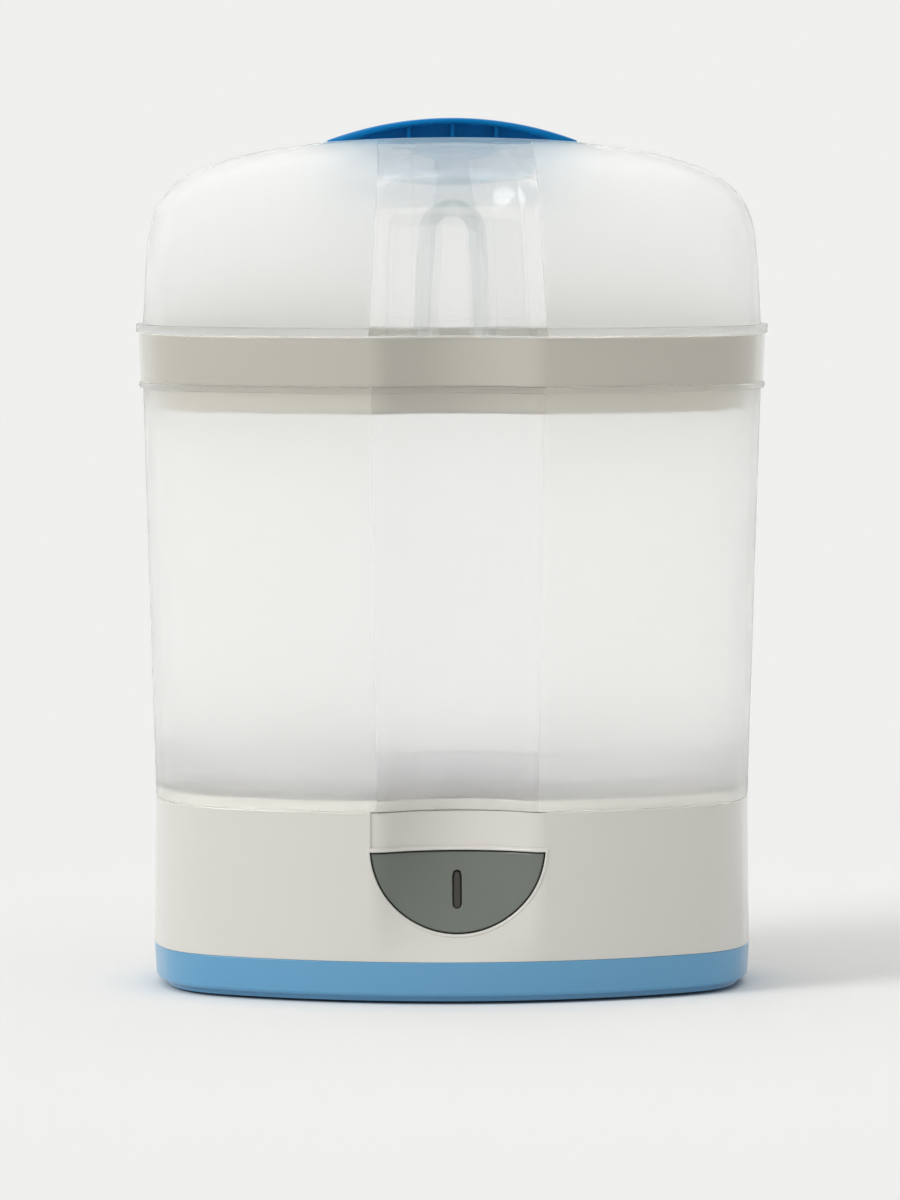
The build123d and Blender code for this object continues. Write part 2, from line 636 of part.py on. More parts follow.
def heating_plate():
    """Stainless plate: a shallow dish with a flat rim that rests on the seal."""
    rim_under = BASIN_FLOOR + SEAL_THICKNESS
    rise = PLATE_BOTTOM + DISH_RISE
    under = [
        (0.0, rise),
        (CAP_RADIUS, rise),
        (ELEMENT_RADIUS / 2, PLATE_BOTTOM),
        (DISH_RADIUS - DISH_RISE, PLATE_BOTTOM),
        (DISH_RADIUS, PLATE_BOTTOM + DISH_RISE),
        (DISH_RADIUS, rim_under),
        (PLATE_RADIUS, rim_under),
    ]
    over = [(x - (PLATE_THICKNESS if index in (4, 5) else 0.0), z + PLATE_THICKNESS)
            for index, (x, z) in enumerate(under)]
    profile = Polyline(*under, *reversed(over), close=True)
    return revolve(Plane.XZ * make_face(profile), Axis.Z)


def plate_seal():
    """Silicone ring under the plate's rim, with a lip outside it."""
    ring = post(PLATE_RADIUS + SEAL_LIP, BASIN_FLOOR, BASIN_FLOOR + SEAL_THICKNESS + PLATE_THICKNESS)
    ring -= post(HOLE_RADIUS, BASIN_FLOOR, BASIN_FLOOR + SEAL_THICKNESS)
    return ring - post(PLATE_RADIUS, BASIN_FLOOR + SEAL_THICKNESS, HOUSING_TOP)


def heating_element():
    """Tubular heater bent to an open ring, with a cold pin and a tab at each end."""
    section = Plane.XZ * (Pos(ELEMENT_RADIUS, ELEMENT_Z) * Circle(ELEMENT_WIRE_RADIUS))
    start = 180 + (360 - ELEMENT_SWEEP) / 2
    element = Rot(0, 0, start) * revolve(section, Axis.Z, ELEMENT_SWEEP)
    for turn in (start, start + ELEMENT_SWEEP):
        x = ELEMENT_RADIUS * math.cos(math.radians(turn))
        y = ELEMENT_RADIUS * math.sin(math.radians(turn))
        element += Pos(x, y, ELEMENT_Z) * Sphere(ELEMENT_WIRE_RADIUS)
        element += post(ELEMENT_WIRE_RADIUS, ELEMENT_Z - COLD_PIN_LENGTH, ELEMENT_Z, x, y)
        tab_top = ELEMENT_Z - COLD_PIN_LENGTH
        element += post(TAB_RADIUS, tab_top - TAB_LENGTH, tab_top, x, y)
    return element


def heater_clamp():
    """Pressed steel star that holds the element up against the plate."""
    clamp = post(CLAMP_HUB_RADIUS, CLAMP_TOP - CLAMP_THICKNESS, CLAMP_TOP)
    for index, (x, y) in enumerate(clamp_places()):
        arm = Pos(CLAMP_SCREW_REACH / 2, 0, CLAMP_TOP - CLAMP_THICKNESS / 2) * Box(
            CLAMP_SCREW_REACH, CLAMP_ARM_WIDTH, CLAMP_THICKNESS)
        clamp += Rot(0, 0, index * 360 / CLAMP_ARMS) * arm
        clamp += post(CLAMP_ARM_WIDTH / 2, CLAMP_TOP - CLAMP_THICKNESS, CLAMP_TOP, x, y)
    clamp -= post(CLAMP_HUB_HOLE, CLAMP_TOP - CLAMP_THICKNESS, CLAMP_TOP)
    for x, y in clamp_places():
        clamp -= post(SMALL_HOLE_RADIUS, CLAMP_TOP - CLAMP_THICKNESS, CLAMP_TOP, x, y)
    return clamp


def clamp_screws():
    """Screws of the heater clamp, one for each arm."""
    one = screw(SMALL_SCREW_RADIUS, SMALL_HEAD_RADIUS, SMALL_HEAD_HEIGHT, CLAMP_THICKNESS + SMALL_SCREW_BITE)
    return [Pos(x, y, CLAMP_TOP - CLAMP_THICKNESS) * one for x, y in clamp_places()]


def thermostat():
    """Bimetal thermostat pressed to the middle of the plate, with two blade terminals."""
    top = PLATE_BOTTOM + DISH_RISE
    body = post(CAP_RADIUS, top - CAP_HEIGHT, top)
    body += post(THERMOSTAT_RADIUS, top - CAP_HEIGHT - THERMOSTAT_HEIGHT, top - CAP_HEIGHT)
    foot = top - CAP_HEIGHT - THERMOSTAT_HEIGHT
    for x in (-BLADE_REACH, BLADE_REACH):
        edges = (x - BLADE_THICKNESS / 2, x + BLADE_THICKNESS / 2)
        body += block(edges, (-BLADE_WIDTH / 2, BLADE_WIDTH / 2), (foot - BLADE_LENGTH, foot))
    return body


def thermal_fuse():
    """One-shot thermal fuse that lies against the plate beside the thermostat."""
    z = PLATE_BOTTOM - FUSE_RADIUS
    fuse = spigot(FUSE_RADIUS, -FUSE_LENGTH / 2, FUSE_LENGTH / 2, FUSE_REACH, z)
    reach = FUSE_LENGTH / 2 + FUSE_LEAD_LENGTH
    return fuse + spigot(FUSE_LEAD_RADIUS, -reach, reach, FUSE_REACH, z)


def board_screw_places():
    """Where the board's screws stand, in x and z."""
    x_reach = BOARD_HALF_WIDTH - BOARD_HOLE_INSET
    heights = (BOARD_BOTTOM_Z + BOARD_HOLE_INSET, BOARD_TOP_Z - BOARD_HOLE_INSET)
    return [(x, z) for x in (-x_reach, x_reach) for z in heights]


def button_bracket():
    """Bracket behind the button: guide holes for its pins, a window, ears and board standoffs."""
    bracket = block((-BRACKET_HALF_WIDTH, BRACKET_HALF_WIDTH), (BRACKET_FRONT_Y, BRACKET_BACK_Y),
                    (BRACKET_BOTTOM_Z, FLOOR_UNDER))
    for x, y in bracket_screw_places():
        outer = math.copysign(BRACKET_HALF_WIDTH, x)
        inner = 2 * x - outer
        ear = block(sorted((inner, outer)), (BRACKET_BACK_Y, BRACKET_BACK_Y + EAR_LENGTH),
                    (FLOOR_UNDER - EAR_THICKNESS, FLOOR_UNDER))
        bracket += ear
        bracket -= post(SMALL_HOLE_RADIUS, FLOOR_UNDER - EAR_THICKNESS, FLOOR_UNDER, x, y)
    window_top = SLIT_Z + SLIT_HEIGHT / 2 + WINDOW_MARGIN
    window_bottom = SWITCH_Z - PUSHER_RADIUS - WINDOW_MARGIN
    window_half = PUSHER_RADIUS + WINDOW_MARGIN
    bracket -= block((-window_half, window_half), (BRACKET_FRONT_Y, BRACKET_BACK_Y), (window_bottom, window_top))
    for x in (-PIN_REACH_X, PIN_REACH_X):
        bracket -= spigot(PIN_RADIUS + PIN_CLEARANCE, BRACKET_FRONT_Y, BRACKET_BACK_Y, x, PIN_Z)
    for x, z in board_screw_places():
        bracket += spigot(STANDOFF_RADIUS, BRACKET_BACK_Y, BOARD_FRONT_Y, x, z)
        bracket -= spigot(SMALL_HOLE_RADIUS, BRACKET_FRONT_Y, BOARD_FRONT_Y, x, z)
    return bracket


def bracket_screws():
    """Two screws that hold the bracket's ears to the deck."""
    bite = EAR_THICKNESS + FLOOR_THICKNESS / 2
    one = screw(SMALL_SCREW_RADIUS, SMALL_HEAD_RADIUS, SMALL_HEAD_HEIGHT, bite)
    return [Pos(x, y, FLOOR_UNDER - EAR_THICKNESS) * one for x, y in bracket_screw_places()]


def control_board():
    """Circuit board with a relay, a capacitor and a wire header on its back."""
    board = block((-BOARD_HALF_WIDTH, BOARD_HALF_WIDTH), (BOARD_FRONT_Y, BOARD_BACK_Y),
                  (BOARD_BOTTOM_Z, BOARD_TOP_Z))
    for x, z in board_screw_places():
        board -= spigot(SMALL_HOLE_RADIUS, BOARD_FRONT_Y, BOARD_BACK_Y, x, z)
    for x, z, width, height, depth in (
        (RELAY_X, RELAY_Z, RELAY_WIDTH, RELAY_HEIGHT, RELAY_DEPTH),
        (HEADER_X, HEADER_Z, HEADER_WIDTH, HEADER_HEIGHT, HEADER_DEPTH),
    ):
        board += block((x - width / 2, x + width / 2), (BOARD_BACK_Y, BOARD_BACK_Y + depth),
                       (z - height / 2, z + height / 2))
    board += spigot(CAPACITOR_RADIUS, BOARD_BACK_Y, BOARD_BACK_Y + CAPACITOR_LENGTH, CAPACITOR_X, CAPACITOR_Z)
    return board


def board_screws():
    """Four screws that hold the board to the bracket."""
    one = Rot(90, 0, 0) * screw(SMALL_SCREW_RADIUS, SMALL_HEAD_RADIUS, SMALL_HEAD_HEIGHT,
                                BOARD_THICKNESS + SMALL_SCREW_BITE)
    return [Pos(x, BOARD_BACK_Y, z) * one for x, z in board_screw_places()]


def tact_switch():
    """Push switch on the front of the board, under the button's pusher."""
    half = SWITCH_SIDE / 2
    front = BOARD_FRONT_Y - SWITCH_HEIGHT
    switch = block((-half, half), (front, BOARD_FRONT_Y), (SWITCH_Z - half, SWITCH_Z + half))
    return switch + spigot(PLUNGER_RADIUS, PLUNGER_FRONT_Y, front, 0.0, SWITCH_Z)


def status_led():
    """Small lamp behind the light guide, with a domed tip."""
    led = spigot(LED_FLANGE_RADIUS, BOARD_FRONT_Y - LED_FLANGE_HEIGHT, BOARD_FRONT_Y, 0.0, SLIT_Z)
    shoulder = BOARD_FRONT_Y - LED_LENGTH + LED_RADIUS
    led += spigot(LED_RADIUS, shoulder, BOARD_FRONT_Y, 0.0, SLIT_Z)
    return led + Pos(0, shoulder, SLIT_Z) * Sphere(LED_RADIUS)


def power_button():
    """Half-moon button: a skin that follows the housing, a skirt, two guide pins and a pusher."""
    outer = housing_form(BUTTON_SET)
    inner = housing_form(BUTTON_SET + BUTTON_SKIN)
    radius = BUTTON_RADIUS - BUTTON_GAP
    top = BUTTON_TOP_Z - BUTTON_GAP
    moon = half_moon(radius, top)
    core = half_moon(radius - BUTTON_WALL, top - BUTTON_WALL)
    blank = push(moon, BUTTON_BACK_Y, FAR_FRONT) & outer
    button = blank - (push(core, BUTTON_BACK_Y, FAR_FRONT) & inner)
    pin_back = BRACKET_BACK_Y + PIN_OVERRUN
    for x in (-PIN_REACH_X, PIN_REACH_X):
        button += spigot(PIN_RADIUS, FAR_FRONT, pin_back, x, PIN_Z) & outer
    button += spigot(PUSHER_RADIUS, FAR_FRONT, PLUNGER_FRONT_Y - PUSHER_GAP, 0.0, SWITCH_Z) & outer
    return button - push(slit(), BUTTON_BACK_Y, FAR_FRONT)


def light_guide():
    """Clear bar in the button's slit, set back from its face and flanged behind its skin."""
    front = housing_form(BUTTON_SET + GUIDE_SET)
    behind = housing_form(BUTTON_SET + BUTTON_SKIN)
    skin_back = JOIN_HALF_DEPTH - MID_WAIST_DEPTH - BUTTON_SET - BUTTON_SKIN
    guide_back = BOARD_FRONT_Y - LED_LENGTH - PUSHER_GAP
    bar = push(slit(-GUIDE_CLEARANCE), guide_back, FAR_FRONT) & front
    flange_back = GUIDE_FLANGE_DEPTH - skin_back
    flange = push(slit(GUIDE_FLANGE), flange_back, FAR_FRONT) & behind
    return bar + flange


def cord_seat():
    """Square seat for the cord bushing, set in the rear wall's window from inside up to its lip."""
    core = SEAT_REACH - GLAND_CLEARANCE
    edge = SEAT_REACH + SEAT_LIP
    depth = (SEAT_Y - SEAT_DEPTH, SEAT_Y)
    lip = block((-edge, edge), depth, (GLAND_Z - core, GLAND_Z + edge))
    seat = block((-core, core), depth, (GLAND_Z - core, GLAND_Z + core))
    seat += lip & housing_form(HOUSING_WALL + GLAND_CLEARANCE)
    return seat - spigot(GLAND_RADIUS + GLAND_CLEARANCE, 0.0, FAR, 0.0, GLAND_Z)


def cord_gland():
    """Bushing for the supply cord in its seat: flange outside, collar inside, open bore."""
    inner = SEAT_Y - SEAT_DEPTH
    gland = spigot(GLAND_RADIUS, inner, SEAT_Y, 0.0, GLAND_Z)
    gland += spigot(GLAND_FLANGE_RADIUS, SEAT_Y, SEAT_Y + GLAND_FLANGE_HEIGHT, 0.0, GLAND_Z)
    gland += spigot(GLAND_COLLAR_RADIUS, inner - GLAND_COLLAR_HEIGHT, inner, 0.0, GLAND_Z)
    return gland - spigot(GLAND_BORE, 0.0, FAR, 0.0, GLAND_Z)


def terminal_block():
    """Three-way screw terminal block on the floor of the base."""
    terminal = block((-BLOCK_WIDTH / 2, BLOCK_WIDTH / 2), (BLOCK_Y - BLOCK_DEPTH / 2, BLOCK_Y + BLOCK_DEPTH / 2),
                     (RING_FLOOR_TOP, RING_FLOOR_TOP + BLOCK_HEIGHT))
    top = RING_FLOOR_TOP + BLOCK_HEIGHT
    for index in range(BLOCK_WAYS):
        x = (index - (BLOCK_WAYS - 1) / 2) * BLOCK_WAY_PITCH
        terminal -= post(BLOCK_SCREW_RADIUS, top - BLOCK_SCREW_DEPTH, top, x, BLOCK_Y)
        terminal -= spigot(BLOCK_BORE, BLOCK_Y - BLOCK_DEPTH, BLOCK_Y + BLOCK_DEPTH, x,
                           RING_FLOOR_TOP + BLOCK_HEIGHT / 2 - BLOCK_BORE)
    return terminal


def main_body():
    """Frosted body: tapering wall open above and below, rim at the top, ledge for the rack."""
    body = body_form(BODY_BOTTOM, BODY_TOP)
    rim = plan(BODY_TOP - BODY_RIM_HEIGHT, BODY_TOP_HALF_WIDTH + BODY_RIM_REACH,
               BODY_TOP_HALF_DEPTH + BODY_RIM_REACH)
    body += prism(rim, BODY_RIM_HEIGHT)
    body -= body_form(BODY_BOTTOM, BODY_TOP, BODY_WALL)
    ledge = body_form(LEDGE_BOTTOM, LEDGE_TOP, BODY_WALL / 2)
    ledge -= body_form(LEDGE_BOTTOM, LEDGE_TOP, BODY_WALL + LEDGE_WIDTH)
    return body + ledge


def slot_grid(z, length, width, pitch_x, pitch_y, columns, rows, reach_x, reach_y, depth):
    """Upright slots on a grid, kept inside an ellipse-like field of the given reaches."""
    slots = []
    for row in range(rows):
        y = (row - (rows - 1) / 2) * pitch_y
        shift = pitch_x / 2 if row % 2 else 0.0
        for column in range(columns):
            x = (column - (columns - 1) / 2) * pitch_x + shift
            if abs(x / reach_x) ** 3 + abs(y / reach_y) ** 3 < 1:
                slots.append(extrude(Pos(x, y, z) * SlotOverall(length, width), amount=depth))
    return slots


def bottle_rack():
    """Lift-out rack: perforated floor inside a raised rim, standing on the body's ledge."""
    inset = BODY_WALL + RACK_CLEARANCE
    rack = prism(body_plan(RACK_BOTTOM, inset), RACK_HEIGHT)
    under = Pos(0, 0, RACK_BOTTOM - LEDGE_TOP) * prism(body_plan(LEDGE_TOP, inset + RACK_WALL), RACK_FLOOR_LIFT)
    rack -= under
    cavity = body_plan(RACK_FLOOR_BOTTOM, inset + RACK_WALL)
    rack -= Pos(0, 0, RACK_FLOOR) * prism(cavity, RACK_HEIGHT)
    reach_x = JOIN_HALF_WIDTH - RACK_MARGIN
    reach_y = JOIN_HALF_DEPTH - RACK_MARGIN
    rack -= slot_grid(RACK_FLOOR_BOTTOM, RACK_HOLE_LENGTH, RACK_HOLE_WIDTH, RACK_PITCH_X, RACK_PITCH_Y,
                      RACK_COLUMNS, RACK_ROWS, reach_x, reach_y, RACK_FLOOR)
    return rack


def tray():
    """Cream tray: band that crowns the body and a slotted bowl that hangs inside it."""
    band_low = plan(BAND_BOTTOM, BAND_LOW_HALF_WIDTH, BAND_LOW_HALF_DEPTH)
    band_top = plan(BAND_TOP, BAND_TOP_HALF_WIDTH, BAND_TOP_HALF_DEPTH)
    bowl_inset = BODY_WALL + BOWL_CLEARANCE
    piece = loft_solid([band_low, band_top])
    piece += prism(body_plan(BOWL_BOTTOM, bowl_inset), BOWL_DROP + BAND_WALL)
    piece -= prism(plan(SHELF_TOP, BAND_LOW_HALF_WIDTH, BAND_LOW_HALF_DEPTH, inset=BAND_WALL), BAND_HEIGHT)
    piece -= Pos(0, 0, BOWL_FLOOR) * prism(body_plan(BOWL_BOTTOM, bowl_inset + BOWL_WALL), BAND_HEIGHT)
    reach_x = BODY_TOP_HALF_WIDTH - TRAY_MARGIN
    reach_y = BODY_TOP_HALF_DEPTH - TRAY_MARGIN
    piece -= slot_grid(BOWL_BOTTOM, TRAY_SLOT_LENGTH, TRAY_SLOT_WIDTH, TRAY_PITCH_X, TRAY_PITCH_Y,
                       TRAY_COLUMNS, TRAY_ROWS, reach_x, reach_y, BOWL_FLOOR)
    return piece


def loop_outline(radius, foot_reach, bottom):
    """An arch on two splayed legs as a face in x and z."""
    crown = LOOP_CENTRE_Z + radius
    lines = Line((radius, LOOP_CENTRE_Z), (foot_reach, bottom))
    lines += Line((foot_reach, bottom), (-foot_reach, bottom))
    lines += Line((-foot_reach, bottom), (-radius, LOOP_CENTRE_Z))
    lines += ThreePointArc((-radius, LOOP_CENTRE_Z), (0, crown), (radius, LOOP_CENTRE_Z))
    return make_face(lines)


def tray_handle():
    """Loop handle that stands on the tray floor: thin web with a flange round its outside."""
    foot_top = BOWL_FLOOR_TOP + LOOP_FOOT_HEIGHT
    outer = loop_outline(LOOP_TOP_RADIUS, LOOP_FOOT_REACH, BOWL_FLOOR_TOP)
    core = loop_outline(LOOP_TOP_RADIUS - LOOP_FLANGE_WALL, LOOP_FOOT_REACH - LOOP_FLANGE_WALL, BOWL_FLOOR_TOP)
    gap = loop_outline(LOOP_INNER_RADIUS, LOOP_INNER_FOOT, foot_top)
    handle = push(outer, LOOP_WEB / 2, -LOOP_WEB / 2)
    handle += push(outer - core, LOOP_FLANGE / 2, -LOOP_FLANGE / 2)
    handle += block((-LOOP_FOOT_WIDTH / 2, LOOP_FOOT_WIDTH / 2), (-LOOP_FOOT_DEPTH / 2, LOOP_FOOT_DEPTH / 2),
                    (BOWL_FLOOR_TOP, foot_top))
    return handle - push(gap, LOOP_FLANGE / 2, -LOOP_FLANGE / 2)


def dome_profile():
    """Share of the dome's height and of its width at each section, spaced evenly by a cosine rule."""
    points = []
    for step in range(DOME_STEPS + 1):
        level = DOME_CUT * (1 - (1 - step / DOME_STEPS) ** 2)
        spread = (1 - level**DOME_RISE_POWER) ** (1 / DOME_SPREAD_POWER)
        points.append((level, spread * (1 - DOME_LEAN * level)))
    walked = [0.0]
    for (low, wide), (high, narrow) in zip(points, points[1:]):
        walked.append(walked[-1] + math.hypot((high - low) * DOME_HEIGHT, (wide - narrow) * DOME_HALF_WIDTH))
    sections = []
    for index in range(DOME_SECTIONS):
        wanted = walked[-1] * (1 - math.cos(math.pi * index / (DOME_SECTIONS - 1))) / 2
        nearest = min(range(len(walked)), key=lambda step: abs(walked[step] - wanted))
        sections.append(points[nearest])
    return sections


def dome_form(shrink):
    """The dome, drawn in all round by shrink."""
    half_width = DOME_HALF_WIDTH - shrink
    half_depth = DOME_HALF_DEPTH - shrink
    height = DOME_HEIGHT - shrink
    wires = []
    for level, scale in dome_profile():
        wires.append(plan(DOME_BOTTOM + level * height, half_width, half_depth, scale=scale))
    return loft_solid(wires, ruled=False)


def insert_top():
    """The gentle arch that the top of the lid insert follows, as a disc in x and z."""
    return Pos(0, CROWN_Z - INSERT_TOP_RADIUS) * Circle(INSERT_TOP_RADIUS)


def insert_plan(grow=0.0):
    """The insert's oval plan, larger all round by grow."""
    return Ellipse(BOWL_HALF_LENGTH + grow, BOWL_HALF_DEPTH + grow)


def oval(grow, bottom, top):
    """The insert's oval as an upright solid between two heights."""
    return extrude(Pos(0, 0, bottom) * insert_plan(grow), amount=top - bottom)


def lid_rim():
    """Rim of the lid: the edge that sits on the tray, with a skirt that locates it inside the band."""
    rim = prism(plan(LID_BOTTOM, DOME_HALF_WIDTH + LID_RIM_REACH, DOME_HALF_DEPTH + LID_RIM_REACH),
                LID_RIM_HEIGHT)
    skirt_bottom = LID_BOTTOM - LID_SKIRT_DEPTH
    skirt_inset = BAND_WALL + LID_SKIRT_CLEARANCE
    rim += prism(plan(skirt_bottom, BAND_LOW_HALF_WIDTH, BAND_LOW_HALF_DEPTH, inset=skirt_inset),
                 LID_SKIRT_DEPTH)
    inside = plan(skirt_bottom, BAND_LOW_HALF_WIDTH, BAND_LOW_HALF_DEPTH, inset=skirt_inset + LID_SKIRT_WALL)
    return rim - prism(inside, LID_SKIRT_DEPTH + LID_RIM_HEIGHT)


def lid_shell():
    """Frosted dome on the rim, with an oval hole in the crown for the handle."""
    lid = dome_form(0.0) - dome_form(LID_WALL)
    return lid - oval(INSERT_CLEARANCE, CROWN_Z - DOME_HEIGHT / 2, CROWN_Z + LID_WALL)


def handle_bowl():
    """Blue bowl let into the crown: curved bottom, flange under the lid, two steam slots."""
    bottom = CROWN_Z - INSERT_BOTTOM_DROP
    under = Pos(0, bottom + INSERT_BOTTOM_RADIUS) * Circle(INSERT_BOTTOM_RADIUS)
    floor = Pos(0, bottom + INSERT_BOTTOM_RADIUS) * Circle(INSERT_BOTTOM_RADIUS - INSERT_WALL)
    bowl = oval(0.0, bottom, CROWN_Z) & push(insert_top() & under, FAR, -FAR)
    flange = oval(INSERT_FLANGE_REACH, CROWN_Z - INSERT_FLANGE_DROP, CROWN_Z)
    bowl += flange & dome_form(LID_WALL + INSERT_CLEARANCE)
    bowl -= oval(-INSERT_WALL, bottom, CROWN_Z) & push(floor, FAR, -FAR)
    for x in (-STEAM_SLOT_X, STEAM_SLOT_X):
        for y in (-STEAM_SLOT_Y, STEAM_SLOT_Y):
            slot = Pos(x, y, bottom) * SlotOverall(STEAM_SLOT_LENGTH, STEAM_SLOT_WIDTH)
            bowl -= extrude(slot, amount=INSERT_BOTTOM_DROP / 2)
    return bowl


def handle_grip():
    """Arched grip across the bowl, on an upright web with three cross ribs."""
    top_z = CROWN_Z + GRIP_RISE
    bottom = CROWN_Z - INSERT_BOTTOM_DROP
    over = Pos(0, top_z - GRIP_TOP_RADIUS) * Circle(GRIP_TOP_RADIUS)
    under = Pos(0, top_z - GRIP_THICKNESS - GRIP_UNDER_RADIUS) * Circle(GRIP_UNDER_RADIUS)
    floor_radius = INSERT_BOTTOM_RADIUS - INSERT_WALL - WEB_CLEARANCE
    floor = Pos(0, bottom + INSERT_BOTTOM_RADIUS) * Circle(floor_radius)
    inside = oval(-INSERT_WALL - WEB_CLEARANCE, bottom, top_z)
    grip_plan = extrude(Pos(0, 0, bottom) * Ellipse(BOWL_HALF_LENGTH, GRIP_HALF_DEPTH), amount=top_z - bottom)
    arch = push(over - under, FAR, -FAR) & grip_plan & inside
    lens = under & floor
    web = push(lens, WEB_THICKNESS / 2, -WEB_THICKNESS / 2) & inside
    grip = arch + web
    for index in range(RIB_COUNT):
        x = (index - (RIB_COUNT - 1) / 2) * RIB_PITCH
        strip = Pos(x, CROWN_Z) * Rectangle(RIB_THICKNESS, 4 * INSERT_BOTTOM_DROP)
        grip += push(lens & strip, RIB_HALF_DEPTH, -RIB_HALF_DEPTH)
    return grip


PIECES = (
    base_ring,
    foot_pads,
    base_screws,
    base_housing,
    basin_floor,
    heating_plate,
    plate_seal,
    heating_element,
    heater_clamp,
    clamp_screws,
    thermostat,
    thermal_fuse,
    button_bracket,
    bracket_screws,
    control_board,
    board_screws,
    tact_switch,
    status_led,
    power_button,
    light_guide,
    cord_seat,
    cord_gland,
    terminal_block,
    main_body,
    bottle_rack,
    tray,
    tray_handle,
    lid_rim,
    lid_shell,
    handle_bowl,
    handle_grip,
)


def write_pieces():
    """Build every piece and write it to its own file."""
    os.makedirs("parts", exist_ok=True)
    for make in PIECES:
        piece = make()
        if isinstance(piece, list):
            piece = Compound(children=[solid for part in piece for solid in part.solids()])
        export_step(piece, f"parts/{make.__name__}.step")
        print(make.__name__, round(piece.volume, 1))


write_pieces()
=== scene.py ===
"""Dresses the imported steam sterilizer: smooth moulded shells, finishes, studio light and camera.

Metres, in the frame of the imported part: +Z up, the front with the power button faces -Y.
"""
import logging
import math
from dataclasses import dataclass, replace
from enum import Enum
from functools import lru_cache
from typing import Optional, Protocol, Sequence, Union

import bmesh
import bpy
import numpy as np
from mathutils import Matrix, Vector


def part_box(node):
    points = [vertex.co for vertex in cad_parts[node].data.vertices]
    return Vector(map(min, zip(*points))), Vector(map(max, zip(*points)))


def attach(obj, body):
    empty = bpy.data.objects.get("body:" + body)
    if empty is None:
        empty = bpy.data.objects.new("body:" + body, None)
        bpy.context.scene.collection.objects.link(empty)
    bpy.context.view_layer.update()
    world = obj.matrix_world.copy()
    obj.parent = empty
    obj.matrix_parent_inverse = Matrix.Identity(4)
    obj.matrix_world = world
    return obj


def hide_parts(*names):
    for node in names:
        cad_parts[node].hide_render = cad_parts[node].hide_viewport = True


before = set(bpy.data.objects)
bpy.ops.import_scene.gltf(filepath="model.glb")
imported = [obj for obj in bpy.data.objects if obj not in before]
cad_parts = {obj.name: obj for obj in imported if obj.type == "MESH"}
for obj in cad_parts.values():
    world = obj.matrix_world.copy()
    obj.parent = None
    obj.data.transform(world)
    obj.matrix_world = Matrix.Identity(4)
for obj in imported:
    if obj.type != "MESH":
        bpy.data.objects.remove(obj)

LOG = logging.getLogger("sterilizer")

Ring = list[Vector]
Triple = tuple[float, float, float]
Color = Triple

# Arcs of the plan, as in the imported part.
FRONT_RADIUS = 0.205
CORNER_RADIUS = 0.048
SIDE_RADIUS = 0.104
SHOULDER_RADIUS = 0.014
SHOULDER_REACH = 0.036
WAIST = 0.0155

# Points along each arc of a quarter of the plan: waist, shoulder, bow, corner and side.
ARC_POINTS = (9, 7, 10, 15, 6)

# The units lie this far apart where they rest on each other.
SEAT_GAP = 0.0001

# Steps in each rounded corner of a wall's profile.
CORNER_STEPS = 4

# Vertices closer than WELD are one, and a cutter reaches PAST the skin that it cuts.
WELD = 1e-6
PAST = 0.001


class Unit(Enum):
    """The bodies of the frame that pieces ride on."""

    BASE = "base"
    BUTTON = "button"
    BODY = "body"
    RACK = "rack"
    TRAY = "tray"
    LID = "lid"


def meet(first: Vector, first_reach: float, second: Vector, second_reach: float) -> Vector:
    """The point right of the line from first to second, at given distances from both.

    Args:
        first: Start of the line.
        first_reach: Distance of the wanted point from first.
        second: End of the line.
        second_reach: Distance of the wanted point from second.

    Returns:
        The point in plan.
    """
    line = second - first
    along = (first_reach**2 - second_reach**2 + line.length_squared) / (2 * line.length)
    aside = math.sqrt(first_reach**2 - along**2)
    unit = line.normalized()
    return first + unit * along + Vector((unit.y, -unit.x)) * aside


def toward(centre: Vector, target: Vector, reach: float) -> Vector:
    """The point at the given reach from centre, on the way to target."""
    return centre + (target - centre).normalized() * reach


def arc(centre: Vector, start: Vector, end: Vector, count: int) -> list[Vector]:
    """Points along the short arc about centre, from start up to but not including end.

    Args:
        centre: Centre of the arc.
        start: First point.
        end: Where the arc ends.
        count: How many points.

    Returns:
        The points in plan.
    """
    spoke = start - centre
    first = math.atan2(spoke.y, spoke.x)
    last = math.atan2(end.y - centre.y, end.x - centre.x)
    sweep = (last - first + math.pi) % (2 * math.pi) - math.pi
    turns = [first + sweep * step / count for step in range(count)]
    return [centre + Vector((math.cos(turn), math.sin(turn))) * spoke.length for turn in turns]


